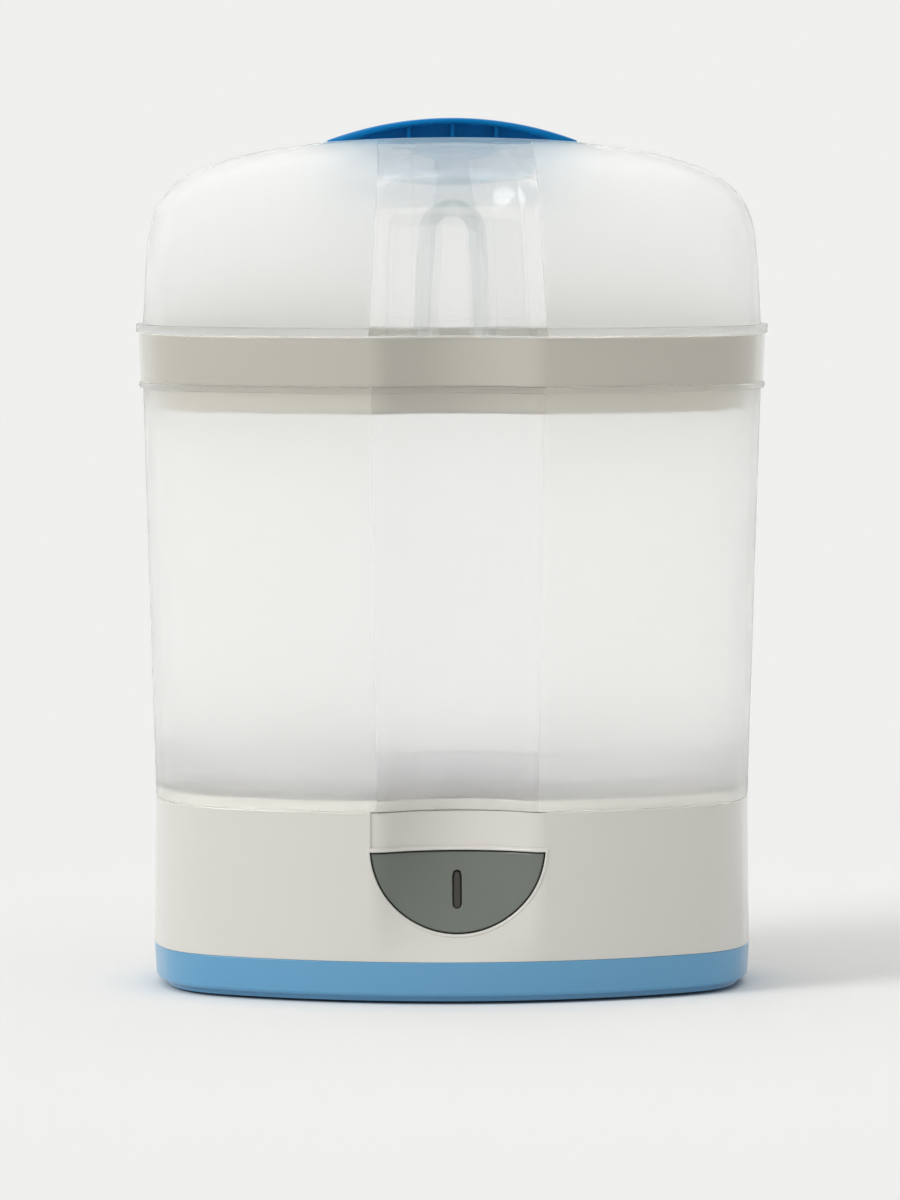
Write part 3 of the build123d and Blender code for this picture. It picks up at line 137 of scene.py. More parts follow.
@dataclass(frozen=True)
class Outline:
    """The plan of one level: bowed front and back with a waist, round corners and bowed sides."""

    half_width: float
    half_depth: float
    waist: float = WAIST

    def part_way(self, other: "Outline", share: float, waist: float = WAIST) -> "Outline":
        """The outline a share of the way to another one, with a waist of its own.

        Args:
            other: The outline at share 1.
            share: How far along it lies.
            waist: Depth of its waist.

        Returns:
            The outline.
        """
        half_width = self.half_width + (other.half_width - self.half_width) * share
        half_depth = self.half_depth + (other.half_depth - self.half_depth) * share
        return Outline(half_width, half_depth, waist)

    def bow(self) -> Vector:
        """Centre of the front's bow."""
        return Vector((0.0, FRONT_RADIUS - self.half_depth))

    def shoulder(self) -> Vector:
        """Centre of the small arc beside the waist."""
        drop = math.sqrt((FRONT_RADIUS - SHOULDER_RADIUS) ** 2 - SHOULDER_REACH**2)
        return Vector((SHOULDER_REACH, self.bow().y - drop))

    def waist_radius(self) -> float:
        """Radius of the hollow arc in the middle of the front."""
        rise = self.shoulder().y + self.half_depth - (self.waist or WAIST)
        return (SHOULDER_REACH**2 + rise**2 - SHOULDER_RADIUS**2) / (2 * (SHOULDER_RADIUS - rise))

    def dip(self) -> Vector:
        """Centre of the waist's arc, which lies in front of it."""
        return Vector((0.0, (self.waist or WAIST) - self.half_depth - self.waist_radius()))

    @lru_cache(maxsize=None)
    def quarter(self, inset: float) -> tuple[Vector, ...]:
        """Points of the front right quarter, from the waist's middle to the side.

        Args:
            inset: How far the outline is drawn in.

        Returns:
            The points in plan, with both ends.
        """
        bow, shoulder, dip = self.bow(), self.shoulder(), self.dip()
        side = Vector((self.half_width - SIDE_RADIUS, 0.0))
        corner = meet(side, SIDE_RADIUS - CORNER_RADIUS, bow, FRONT_RADIUS - CORNER_RADIUS)
        bow_radius = FRONT_RADIUS - inset
        after_shoulder = toward(bow, shoulder, bow_radius)
        before_corner = toward(bow, corner, bow_radius)
        before_side = toward(side, corner, SIDE_RADIUS - inset)
        end = Vector((self.half_width - inset, 0.0))
        if self.waist:
            start = Vector((0.0, self.waist - self.half_depth + inset))
            before_shoulder = toward(dip, shoulder, self.waist_radius() + inset)
            centres = (dip, shoulder, bow, corner, side)
        else:
            start = Vector((0.0, inset - self.half_depth))
            level = Vector((toward(dip, shoulder, self.waist_radius()).x, shoulder.y))
            before_shoulder = toward(bow, level, bow_radius)
            centres = (bow, bow, bow, corner, side)
        marks = (start, before_shoulder, after_shoulder, before_corner, before_side, end)
        points = []
        for centre, first, last, count in zip(centres, marks, marks[1:], ARC_POINTS):
            points += arc(centre, first, last, count)
        return tuple(points + [end])

    def ring(self, height: float, inset: float = 0.0, scale: float = 1.0) -> Ring:
        """The closed outline at a height, from the front's middle round by the right.

        Args:
            height: Height of the ring.
            inset: How far the outline is drawn in.
            scale: Share to which it is shrunk after that.

        Returns:
            The ring, with as many points for every outline.
        """
        front = list(self.quarter(inset))
        right = front + [Vector((p.x, -p.y)) for p in reversed(front[:-1])]
        left = [Vector((-p.x, p.y)) for p in reversed(right[1:-1])]
        return [Vector((p.x * scale, p.y * scale, height)) for p in right + left]

    def front(self, x: float, inset: float) -> float:
        """How far forward the outline lies at x, near the middle of the front.

        Args:
            x: Distance from the middle.
            inset: How far the outline is drawn in.

        Returns:
            The outline's y.
        """
        x = abs(x)
        bow, shoulder, dip = self.bow(), self.shoulder(), self.dip()
        hollow = self.waist_radius() + inset
        if self.waist and x < toward(dip, shoulder, hollow).x:
            return dip.y + math.sqrt(hollow**2 - x**2)
        if self.waist and x < toward(bow, shoulder, FRONT_RADIUS - inset).x:
            return shoulder.y - math.sqrt((SHOULDER_RADIUS - inset) ** 2 - (x - shoulder.x) ** 2)
        return bow.y - math.sqrt((FRONT_RADIUS - inset) ** 2 - x**2)


class Form(Protocol):
    """A wall's form: it gives the wall's ring at any height, drawn in by any inset."""

    def ring(self, height: float, inset: float = 0.0) -> Ring:
        """The ring at a height."""


def between(first: Ring, second: Ring, share: float) -> Ring:
    """The ring that lies the given share of the way from one ring to another."""
    return [a.lerp(b, share) for a, b in zip(first, second)]


@dataclass(frozen=True)
class Taper:
    """A straight wall from one outline to another."""

    low: Outline
    low_height: float
    high: Outline
    high_height: float

    def ring(self, height: float, inset: float = 0.0) -> Ring:
        """The ring at a height, drawn in by inset.

        Args:
            height: Height of the ring.
            inset: How far it is drawn in.

        Returns:
            The ring.
        """
        share = (height - self.low_height) / (self.high_height - self.low_height)
        low = self.low.ring(height, inset)
        return between(low, self.high.ring(height, inset), share)


@dataclass(frozen=True)
class Swell:
    """The base housing's wall, whose waist fades out over three outlines."""

    outlines: tuple[Outline, Outline, Outline]
    heights: tuple[float, float, float]

    def shares(self, height: float) -> list[float]:
        """How much each of the three outlines counts at a height.

        Args:
            height: The height.

        Returns:
            Three shares that add up to 1.
        """
        shares = []
        for own in self.heights:
            others = [other for other in self.heights if other != own]
            shares.append(math.prod((height - other) / (own - other) for other in others))
        return shares

    def ring(self, height: float, inset: float = 0.0) -> Ring:
        """The ring at a height, drawn in by inset.

        Args:
            height: Height of the ring.
            inset: How far it is drawn in.

        Returns:
            The ring.
        """
        rings = [outline.ring(height, inset) for outline in self.outlines]
        ring = []
        for points in zip(*rings):
            x = sum(share * point.x for share, point in zip(self.shares(height), points))
            y = sum(share * point.y for share, point in zip(self.shares(height), points))
            ring.append(Vector((x, y, height)))
        return ring

    def front(self, x: float, height: float, inset: float) -> float:
        """How far forward the wall lies at x and a height, near the middle of the front."""
        fronts = [outline.front(x, inset) for outline in self.outlines]
        return sum(share * front for share, front in zip(self.shares(height), fronts))


RING_OUTLINE = Outline(0.1306, 0.0860, waist=0.0)
JOIN_OUTLINE = Outline(0.1297, 0.0853)
BODY_TOP_OUTLINE = Outline(0.1350, 0.0903)
BAND_LOW_OUTLINE = Outline(0.1360, 0.0912)
BAND_TOP_OUTLINE = Outline(0.1370, 0.0922)
DOME_OUTLINE = Outline(0.1349, 0.0902)


@dataclass(frozen=True)
class Corner:
    """A corner of a wall's profile: how far in it lies, how high, and how much it is rounded."""

    inset: float
    height: float
    rounding: float = 0.0


def profile(corners: Sequence[Corner], closed: bool = True,
            longest: float = 0.012) -> list[tuple[float, float]]:
    """Points along a wall's profile, with its corners rounded and its long runs divided.

    Args:
        corners: The corners in order.
        closed: Whether the last corner is joined to the first.
        longest: Longest run that is left undivided.

    Returns:
        Pairs of inset and height.
    """
    places = [Vector((corner.inset, corner.height)) for corner in corners]
    points: list[Vector] = []
    for index, (corner, place) in enumerate(zip(corners, places)):
        at_end = not closed and index in (0, len(corners) - 1)
        if at_end or not corner.rounding:
            points.append(place)
            continue
        before = (places[index - 1] - place).normalized()
        after = (places[(index + 1) % len(places)] - place).normalized()
        half = before.angle(after) / 2
        centre = place + (before + after).normalized() * corner.rounding / math.sin(half)
        start = place + before * corner.rounding / math.tan(half)
        end = place + after * corner.rounding / math.tan(half)
        points += arc(centre, start, end, CORNER_STEPS) + [end]
    runs = list(zip(points, points[1:] + points[:1] if closed else points[1:]))
    divided = []
    for start, end in runs:
        cuts = max(1, math.ceil((end - start).length / longest))
        divided += [start.lerp(end, cut / cuts) for cut in range(cuts)]
    if not closed:
        divided.append(points[-1])
    return [(point.x, point.y) for point in divided]


def wall_rings(form: Form, points: Sequence[tuple[float, float]]) -> list[Ring]:
    """The rings of a wall, one for each point of its profile."""
    return [form.ring(height, inset) for inset, height in points]


def ease_between(first: Ring, second: Ring, steps: int) -> list[Ring]:
    """Rings that turn one ring into another, without the first and with the last."""
    return [between(first, second, step / steps) for step in range(1, steps + 1)]


def round_ring(pattern: Ring, half_length: float, half_depth: float, height: float) -> Ring:
    """An oval ring whose points lie in the directions of those of another ring.

    Args:
        pattern: Ring whose points set the directions.
        half_length: Half of the oval along x.
        half_depth: Half of the oval along y.
        height: Height of the ring.

    Returns:
        The oval ring.
    """
    width = max(point.x for point in pattern)
    depth = max(point.y for point in pattern)
    ring = []
    for point in pattern:
        turn = math.atan2(point.y / depth, point.x / width)
        ring.append(Vector((half_length * math.cos(turn), half_depth * math.sin(turn), height)))
    return ring


def deselect_all() -> None:
    """Leave edit mode and deselect everything."""
    if bpy.context.object and bpy.context.object.mode != "OBJECT":
        bpy.ops.object.mode_set(mode="OBJECT")
    bpy.ops.object.select_all(action="DESELECT")


def pick(piece: bpy.types.Object) -> bpy.types.Object:
    """Make a piece the only selected and the active one.

    Args:
        piece: The piece.

    Returns:
        The same piece.
    """
    deselect_all()
    piece.select_set(True)
    bpy.context.view_layer.objects.active = piece
    return piece


def use_modifier(piece: bpy.types.Object, kind: str, **settings: object) -> None:
    """Give a piece a modifier and apply it.

    Args:
        piece: The piece.
        kind: Type of modifier.
        settings: Values of the modifier's settings.
    """
    pick(piece)
    modifier = piece.modifiers.new(kind.lower(), kind)
    for name, value in settings.items():
        setattr(modifier, name, value)
    bpy.ops.object.modifier_apply(modifier=modifier.name)


def cut(piece: bpy.types.Object, cutter: bpy.types.Object) -> None:
    """Cut one piece by another, which is used up.

    Args:
        piece: The piece that loses the common space.
        cutter: The piece that cuts it.
    """
    use_modifier(piece, "BOOLEAN", object=cutter, operation="DIFFERENCE", solver="EXACT")
    bpy.data.meshes.remove(cutter.data)


def join(pieces: Sequence[bpy.types.Object], name: str) -> bpy.types.Object:
    """Make several meshes one piece.

    Args:
        pieces: The meshes, the first of which keeps its place.
        name: Name of the piece.

    Returns:
        The joined piece.
    """
    pick(pieces[0])
    for piece in pieces:
        piece.select_set(True)
    if len(pieces) > 1:
        bpy.ops.object.join()
    joined = bpy.context.object
    joined.name = name
    return joined


def smooth(piece: bpy.types.Object, angle: float = 40.0) -> bpy.types.Object:
    """Shade a piece smooth across edges flatter than the angle, led by its large faces.

    Args:
        piece: The piece.
        angle: Sharpest turn that is still shaded smooth, in degrees.

    Returns:
        The same piece.
    """
    pick(piece)
    bpy.ops.object.shade_smooth_by_angle(angle=math.radians(angle))
    use_modifier(piece, "WEIGHTED_NORMAL", keep_sharp=True, weight=60)
    return piece


class Skin:
    """A mesh pulled in edit mode from one ring of points to the next.

    Each vertex keeps the number of its place along the ring. An extrude copies that number, so a
    fresh ring of vertices can be moved onto its outline.
    """

    def __init__(self, name: str, first: Ring) -> None:
        """Start from a circle, which is moved onto the first ring.

        Args:
            name: Name of the piece.
            first: The first ring.
        """
        deselect_all()
        bpy.ops.mesh.primitive_circle_add(vertices=len(first))
        self.piece = bpy.context.object
        self.piece.name = name
        self.first = first
        bpy.ops.object.mode_set(mode="EDIT")
        bpy.ops.mesh.select_mode(type="VERT")
        bpy.ops.mesh.select_all(action="SELECT")
        mesh = bmesh.from_edit_mesh(self.piece.data)
        station = mesh.verts.layers.int.new("station")
        mesh.verts.ensure_lookup_table()
        for index, vertex in enumerate(mesh.verts):
            vertex[station] = index
        self.place(first)

    def place(self, ring: Ring) -> None:
        """Move the selected vertices onto a ring, each to its own place.

        Args:
            ring: The places, one for each selected vertex.
        """
        mesh = bmesh.from_edit_mesh(self.piece.data)
        station = mesh.verts.layers.int["station"]
        for vertex in mesh.verts:
            if vertex.select:
                vertex.co = ring[vertex[station]]
        bmesh.update_edit_mesh(self.piece.data)

    def pull(self, rings: Sequence[Ring]) -> "Skin":
        """Extrude the selected ring onto each of the given rings in turn.

        Args:
            rings: The rings, each with as many points as the first.

        Returns:
            The skin itself.
        """
        for ring in rings:
            bpy.ops.mesh.extrude_region_move()
            self.place(ring)
        return self

    def close(self) -> bpy.types.Object:
        """Pull the skin back onto its first ring and finish it."""
        self.pull([self.first])
        return self.finish()

    def cap(self) -> bpy.types.Object:
        """Close both ends with a flat face and finish the skin.

        Returns:
            The finished piece.
        """
        bpy.ops.mesh.select_all(action="SELECT")
        bpy.ops.mesh.fill_holes(sides=0)
        return self.finish()

    def finish(self) -> bpy.types.Object:
        """Weld what coincides, turn the faces outwards and leave edit mode.

        Returns:
            The finished mesh.
        """
        bpy.ops.mesh.select_all(action="SELECT")
        bpy.ops.mesh.remove_doubles(threshold=WELD)
        bpy.ops.mesh.normals_make_consistent(inside=False)
        bpy.ops.object.mode_set(mode="OBJECT")
        data = self.piece.data
        data.attributes.remove(data.attributes["station"])
        return self.piece


def spun(name: str, outline: Sequence[tuple[float, float]], steps: int = 96,
         axis: Triple = (0.0, 0.0, 1.0), centre: Triple = (0.0, 0.0, 0.0)) -> bpy.types.Object:
    """A closed round piece, spun from an outline of radius and reach along the axis.

    Args:
        name: Name of the piece.
        outline: Pairs of radius and reach along the axis, as a closed polygon.
        steps: Steps in the full turn.
        axis: Axis of the turn, along Y or Z.
        centre: A point on the axis, from which reach is measured.

    Returns:
        The spun mesh.
    """
    middle, along = Vector(centre), Vector(axis)
    section = [middle + Vector((radius, 0, 0)) + along * reach for radius, reach in outline]
    skin = Skin(name, section)
    bpy.ops.mesh.select_all(action="SELECT")
    bpy.ops.mesh.spin(steps=steps, angle=2 * math.pi, center=centre, axis=axis)
    return skin.finish()


def four_corners(reach_x: float, reach_y: float) -> list[tuple[float, float]]:
    """The four places at plus and minus the given reaches."""
    return [(x, y) for x in (-reach_x, reach_x) for y in (-reach_y, reach_y)]


def slot_ring(x: float, y: float, half_length: float, half_width: float, height: float,
              points: int = 8) -> Ring:
    """A slot's outline with round ends, which lies along x.

    Args:
        x: Middle of the slot along x.
        y: Middle of the slot along y.
        half_length: Half of its length, ends included.
        half_width: Half of its width.
        height: Height of the ring.
        points: Steps in each round end.

    Returns:
        The ring.
    """
    ring = []
    for side in (1, -1):
        for step in range(points + 1):
            turn = math.pi * (step / points - 0.5) if side > 0 else math.pi * (step / points + 0.5)
            middle = x + side * (half_length - half_width)
            along, across = half_width * math.cos(turn), half_width * math.sin(turn)
            ring.append(Vector((middle + along, y + across, height)))
    return ring


@dataclass(frozen=True)
class SlotGrid:
    """Slots through a floor, on a staggered grid inside a rounded field."""

    half_length: float
    half_width: float
    pitch_x: float
    pitch_y: float
    columns: int
    rows: int
    field_x: float
    field_y: float

    def places(self) -> list[tuple[float, float]]:
        """Middle of each slot in plan.

        Returns:
            Pairs of x and y.
        """
        places = []
        for row in range(self.rows):
            y = (row - (self.rows - 1) / 2) * self.pitch_y
            shift = self.pitch_x / 2 if row % 2 else 0.0
            for column in range(self.columns):
                x = (column - (self.columns - 1) / 2) * self.pitch_x + shift
                if abs(x / self.field_x) ** 3 + abs(y / self.field_y) ** 3 < 1:
                    places.append((x, y))
        return places

    def cutter(self, low: float, high: float) -> bpy.types.Object:
        """The slots as one mesh between two heights: one slot is modelled, the rest are copies."""
        return copies_at(self.places(), self.half_length, self.half_width, low, high)


def copies_at(places: Sequence[tuple[float, float]], half_length: float, half_width: float,
              low: float, high: float) -> bpy.types.Object:
    """Upright slots at the given places, as one mesh.

    Args:
        places: Middle of each slot in plan.
        half_length: Half of a slot's length.
        half_width: Half of its width.
        low: Height at which the slots start.
        high: Height at which they end.

    Returns:
        The joined mesh.
    """
    first = Skin("slots", slot_ring(0.0, 0.0, half_length, half_width, low))
    one = first.pull([slot_ring(0.0, 0.0, half_length, half_width, high)]).cap()
    slots = []
    for x, y in places:
        copy = one.copy()
        copy.data = one.data.copy()
        bpy.context.collection.objects.link(copy)
        pick(copy)
        bpy.ops.transform.translate(value=(x, y, 0.0))
        bpy.ops.object.transform_apply(location=True, rotation=False, scale=False)
        slots.append(copy)
    bpy.data.meshes.remove(one.data)
    return join(slots, "slots")


class Value:
    """One output of a shader node; arithmetic on it adds Math nodes."""

    def __init__(self, graph: "Graph", socket: bpy.types.NodeSocket) -> None:
        """Wrap a socket of a graph."""
        self.graph = graph
        self.socket = socket

    def __add__(self, other: Union["Value", float]) -> "Value":
        """Sum."""
        return self.graph.math("ADD", self, other)

    def __radd__(self, other: float) -> "Value":
        """Sum, with the number first."""
        return self.graph.math("ADD", other, self)

    def __sub__(self, other: Union["Value", float]) -> "Value":
        """Difference."""
        return self.graph.math("SUBTRACT", self, other)

    def __rsub__(self, other: float) -> "Value":
        """Difference, with the number first."""
        return self.graph.math("SUBTRACT", other, self)

    def __mul__(self, other: Union["Value", float]) -> "Value":
        """Product."""
        return self.graph.math("MULTIPLY", self, other)

    def __rmul__(self, other: float) -> "Value":
        """Product, with the number first."""
        return self.graph.math("MULTIPLY", other, self)

    def __pow__(self, other: Union["Value", float]) -> "Value":
        """Power."""
        return self.graph.math("POWER", self, other)

    def __abs__(self) -> "Value":
        """Size without sign."""
        return self.graph.math("ABSOLUTE", self)

    def ramp(self, low: float, high: float) -> "Value":
        """A smooth step from 0 at low to 1 at high."""
        settings = {"interpolation_type": "SMOOTHSTEP", "clamp": True}
        return self.graph.node("ShaderNodeMapRange", settings, {0: self, 1: low, 2: high, 3: 0.0, 4: 1.0})


class Graph:
    """The node tree of one material or world, written as expressions."""

    def __init__(self, owner: Union[bpy.types.Material, bpy.types.World]) -> None:
        """Empty the owner's node tree.

        Args:
            owner: The material or world that the nodes go into.
        """
        owner.use_nodes = True
        self.owner = owner
        self.tree = owner.node_tree
        self.tree.nodes.clear()

    def node(self, kind: str, settings: Optional[dict] = None, inputs: Optional[dict] = None,
             output: Union[int, str] = 0) -> Value:
        """Add a node.

        Args:
            kind: Type of node.
            settings: The node's own settings, set first.
            inputs: Numbers, colours or links for its sockets, by name or number.
            output: Which output is returned.

        Returns:
            The output as a value.
        """
        made = self.tree.nodes.new(kind)
        for name, value in (settings or {}).items():
            setattr(made, name, value)
        for key, value in (inputs or {}).items():
            if isinstance(value, Value):
                self.tree.links.new(value.socket, made.inputs[key])
            else:
                made.inputs[key].default_value = value
        return Value(self, made.outputs[output])

    def math(self, operation: str, *values: Union[Value, float]) -> Value:
        """Add a Math node of the given operation on the given values."""
        return self.node("ShaderNodeMath", {"operation": operation}, dict(enumerate(values)))

    def place(self) -> Value:
        """The point on the piece, in the part's own frame."""
        return self.node("ShaderNodeTexCoord", output="Object")

    def axes(self) -> tuple[Value, Value, Value]:
        """The point's three coordinates.

        Returns:
            x, y and z.
        """
        split = self.node("ShaderNodeSeparateXYZ", inputs={0: self.place()})
        outputs = split.socket.node.outputs
        return tuple(Value(self, outputs[axis]) for axis in range(3))

    def noise(self, scale: float, detail: float) -> Value:
        """Cloudy noise between 0 and 1.

        Args:
            scale: Clouds to a metre.
            detail: How many finer layers it has.

        Returns:
            The noise.
        """
        inputs = {"Vector": self.place(), "Scale": scale, "Detail": detail, "Roughness": 0.55}
        return self.node("ShaderNodeTexNoise", inputs=inputs)

    def blend(self, share: Value, first: Union[Value, tuple], second: Union[Value, tuple]) -> Value:
        """A colour between two colours."""
        return self.node("ShaderNodeMix", {"data_type": "RGBA"}, {0: share, 6: first, 7: second}, output=2)

    def bump(self, height: Value, depth: float, strength: float = 0.5,
             under: Optional[Value] = None) -> Value:
        """A normal tilted by a height.

        Args:
            height: Height between 0 and 1.
            depth: How deep it is, in metres.
            strength: Share of the effect.
            under: The normal that it tilts, if not the surface's own.

        Returns:
            The normal.
        """
        inputs = {"Height": height, "Distance": depth, "Strength": strength}
        if under is not None:
            inputs["Normal"] = under
        return self.node("ShaderNodeBump", inputs=inputs)

    def mix(self, share: Union[Value, float], first: Value, second: Value) -> Value:
        """A shader between two shaders."""
        return self.node("ShaderNodeMixShader", inputs={0: share, 1: first, 2: second})

    def principled(self, **inputs: Union[Value, float, tuple]) -> Value:
        """A Principled shader; socket names are given with underscores for spaces."""
        named = {name.replace("_", " "): value for name, value in inputs.items()}
        return self.node("ShaderNodeBsdfPrincipled", inputs=named)

    def surface(self, shader: Value) -> None:
        """Use a shader as the surface.

        Args:
            shader: The shader.
        """
        of_world = isinstance(self.owner, bpy.types.World)
        end = self.tree.nodes.new("ShaderNodeOutputWorld" if of_world else "ShaderNodeOutputMaterial")
        self.tree.links.new(shader.socket, end.inputs[0])


def opaque(color: Color, shade: float = 1.0) -> tuple[float, float, float, float]:
    """A colour made darker or lighter, with full alpha."""
    return tuple(min(1.0, part * shade) for part in color) + (1.0,)


@dataclass(frozen=True)
class Finish:
    """A finish: the record's slot it stands for, its colour and how rough it is."""

    slot: str
    color: Color
    roughness: float

    def shade(self, graph: Graph) -> Value:
        """Build the shader."""
        raise NotImplementedError

    @lru_cache(maxsize=None)
    def make(self) -> bpy.types.Material:
        """The finish as a material, made once.

        Returns:
            The material.
        """
        material = bpy.data.materials.new(f"{self.slot}_finish")
        graph = Graph(material)
        graph.surface(self.shade(graph))
        material.diffuse_color = opaque(self.color)
        return material


@dataclass(frozen=True)
class Moulded(Finish):
    """Moulded plastic or rubber: its colour drifts faintly and its skin is finely uneven."""

    drift: float = 0.03
    grain: float = 900.0
    grain_depth: float = 0.00002
    gloss: float = 0.5
    coat: float = 0.0
    coat_roughness: float = 0.12
    clouds: float = 9.0
    cloud_rough: float = 0.08
    grain_rough: float = 0.06
    ripples: float = 16.0
    ripple_depth: float = 0.0001

    def shade(self, graph: Graph) -> Value:
        """Build the shader.

        Args:
            graph: The material's nodes.

        Returns:
            The shader.
        """
        cloud = graph.noise(self.clouds, 3.0)
        fine = graph.noise(self.grain, 2.0)
        color = graph.blend(cloud, opaque(self.color, 1 - self.drift), opaque(self.color, 1 + self.drift))
        rough = self.roughness + (cloud - 0.5) * self.cloud_rough + (fine - 0.5) * self.grain_rough
        ripple = graph.bump(graph.noise(self.ripples, 1.0), self.ripple_depth)
        normal = graph.bump(fine, self.grain_depth, 0.6, under=ripple)
        return graph.principled(Base_Color=color, Roughness=rough, Normal=normal, IOR=1.5,
                                Specular_IOR_Level=self.gloss, Coat_Weight=self.coat,
                                Coat_Roughness=self.coat_roughness)


@dataclass(frozen=True)
class Window:
    """The clear strip up the middle of a frosted wall: half its width at two heights."""

    low: float
    low_half: float
    high: float
    high_half: float
    edge: float = 0.0003

    def frost(self, graph: Graph) -> Value:
        """0 inside the strip and 1 on the frosted wall beside it.

        Args:
            graph: The material's nodes.

        Returns:
            The share of frosting.
        """
        x, _, z = graph.axes()
        slope = (self.high_half - self.low_half) / (self.high - self.low)
        beyond = abs(x) - ((z - self.low) * slope + self.low_half)
        return beyond.ramp(-self.edge, self.edge)


@dataclass(frozen=True)
class Frosted(Finish):
    """Translucent moulding with a fine frosted skin, apart from a clearer strip."""

    window: Optional[Window] = None
    haze: float = 0.4
    clear: Color = (0.985, 0.985, 0.985)
    clear_roughness: float = 0.05
    clear_cover: float = 0.6
    passing: float = 0.95
    cover: float = 1.0
    index: float = 1.4
    clear_index: float = 1.35
    clouds: float = 7.0
    grain: float = 1400.0
    grain_rough: float = 0.06
    ripples: float = 24.0

    def shade(self, graph: Graph) -> Value:
        """Build the shader.

        Args:
            graph: The material's nodes.

        Returns:
            The shader.
        """
        cloud = graph.noise(self.clouds, 3.0)
        fine = graph.noise(self.grain, 1.0)
        color = graph.blend(cloud, opaque(self.color, 0.99), opaque(self.color, 1.005))
        rough = self.roughness + (fine - 0.5) * self.grain_rough
        normal = graph.bump(fine, 0.00001)
        frosted = graph.principled(Base_Color=color, Roughness=rough, Normal=normal, IOR=self.index,
                                   Transmission_Weight=self.passing, Alpha=self.cover)
        if not self.window:
            return frosted
        ripple = graph.bump(graph.noise(self.ripples, 1.0), 0.00005)
        polished = graph.principled(Base_Color=opaque(self.clear), Roughness=self.clear_roughness,
                                    Normal=ripple, IOR=self.clear_index, Transmission_Weight=1.0,
                                    Alpha=self.clear_cover)
        share = self.window.frost(graph) * (1 - self.haze) + self.haze
        return graph.mix(share, polished, frosted)


@dataclass(frozen=True)
class Steel(Finish):
    """Bare metal, brushed in rings round the middle or left plain."""

    ringed: bool = False

    def shade(self, graph: Graph) -> Value:
        """Build the shader.

        Args:
            graph: The material's nodes.

        Returns:
            The shader.
        """
        cloud = graph.noise(30.0, 3.0)
        rough = self.roughness + (cloud - 0.5) * 0.15
        color = graph.blend(cloud, opaque(self.color, 0.93), opaque(self.color, 1.03))
        if self.ringed:
            x, y, _ = graph.axes()
            turned = graph.node("ShaderNodeCombineXYZ", inputs={0: (x * x + y * y) ** 0.5})
            inputs = {"Vector": turned, "Scale": 1500.0, "Detail": 2.0}
            lines = graph.node("ShaderNodeTexNoise", inputs=inputs)
        else:
            lines = graph.noise(400.0, 2.0)
        normal = graph.bump(lines, 0.00003)
        return graph.principled(Base_Color=color, Roughness=rough, Metallic=1.0, Normal=normal)


@dataclass(frozen=True)
class Board(Finish):
    """Circuit board lacquer with copper runs under it."""

    copper: Color = (0.10, 0.36, 0.16)

    def shade(self, graph: Graph) -> Value:
        """Build the shader.

        Args:
            graph: The material's nodes.

        Returns:
            The shader.
        """
        x, _, z = graph.axes()
        wave = graph.math("SINE", x * 900.0 + graph.noise(60.0, 1.0) * 6.0)
        cross = graph.math("SINE", z * 700.0)
        runs = (wave * cross).ramp(0.35, 0.45)
        color = graph.blend(runs, opaque(self.color), opaque(self.copper))
        normal = graph.bump(runs, 0.00004)
        return graph.principled(Base_Color=color, Roughness=self.roughness, Normal=normal, Coat_Weight=0.4)


BODY_WINDOW = Window(0.0824, 0.0343, 0.2637, 0.0368)
LID_WINDOW = Window(0.2852, 0.0380, 0.3690, 0.0330)

WHITE_HOUSING = Moulded("white_housing", (0.71, 0.695, 0.645), 0.3, drift=0.01, grain_depth=0.0, coat=0.8,
                        ripple_depth=0.00002)
BLUE_RING = Moulded("blue_ring", (0.115, 0.355, 0.59), 0.32, coat=0.4)
GREY_BUTTON = Moulded("grey_button", (0.145, 0.165, 0.14), 0.3, drift=0.05, coat=0.2)
SMOKED_GUIDE = Moulded("smoked_guide", (0.020, 0.013, 0.009), 0.18, drift=0.3, coat=0.5)
# The tray is the housing's cream plastic; its darker colour is painted shade on the band, which faces
# slightly down away from the light.
SHADED_CREAM_TRAY = Moulded("cream_tray", (0.52, 0.495, 0.43), 0.25, coat=1.0)
BLUE_GRIP = Moulded("blue_grip", (0.003, 0.20, 0.52), 0.3, gloss=0.08)
FOOT_RUBBER = Moulded("foot_rubber", (0.02, 0.022, 0.024), 0.7, grain=1500.0,
                      grain_depth=0.00005)
SILICONE = Moulded("silicone_seal", (0.55, 0.56, 0.57), 0.5)
BLACK_MOULDING = Moulded("black_moulding", (0.012, 0.012, 0.013), 0.45)
FROSTED_BODY = Frosted("frosted_body", (0.99, 0.99, 0.985), 0.7, window=BODY_WINDOW, index=1.2)
FROSTED_LID = Frosted("frosted_lid", (0.97, 0.972, 0.97), 0.8, window=LID_WINDOW, haze=0.2, index=1.2)
MILKY_RACK = Frosted("milky_rack", (0.96, 0.96, 0.985), 0.3, passing=0.9, cover=0.5, index=1.2)
MILKY_LOOP = Frosted("milky_loop", (0.90, 0.935, 0.945), 0.35, passing=0.6, index=1.2)
BLUE_BOWL = Frosted("blue_bowl", (0.68, 0.87, 0.96), 0.5, passing=0.7, index=1.2)
STAINLESS = Steel("stainless_plate", (0.60, 0.60, 0.59), 0.3, ringed=True)
HEATER_SHEATH = Steel("heater_sheath", (0.20, 0.19, 0.18), 0.5)
ZINC = Steel("zinc_screw", (0.52, 0.53, 0.54), 0.35)
CIRCUIT_BOARD = Board("circuit_board", (0.015, 0.15, 0.05), 0.35)


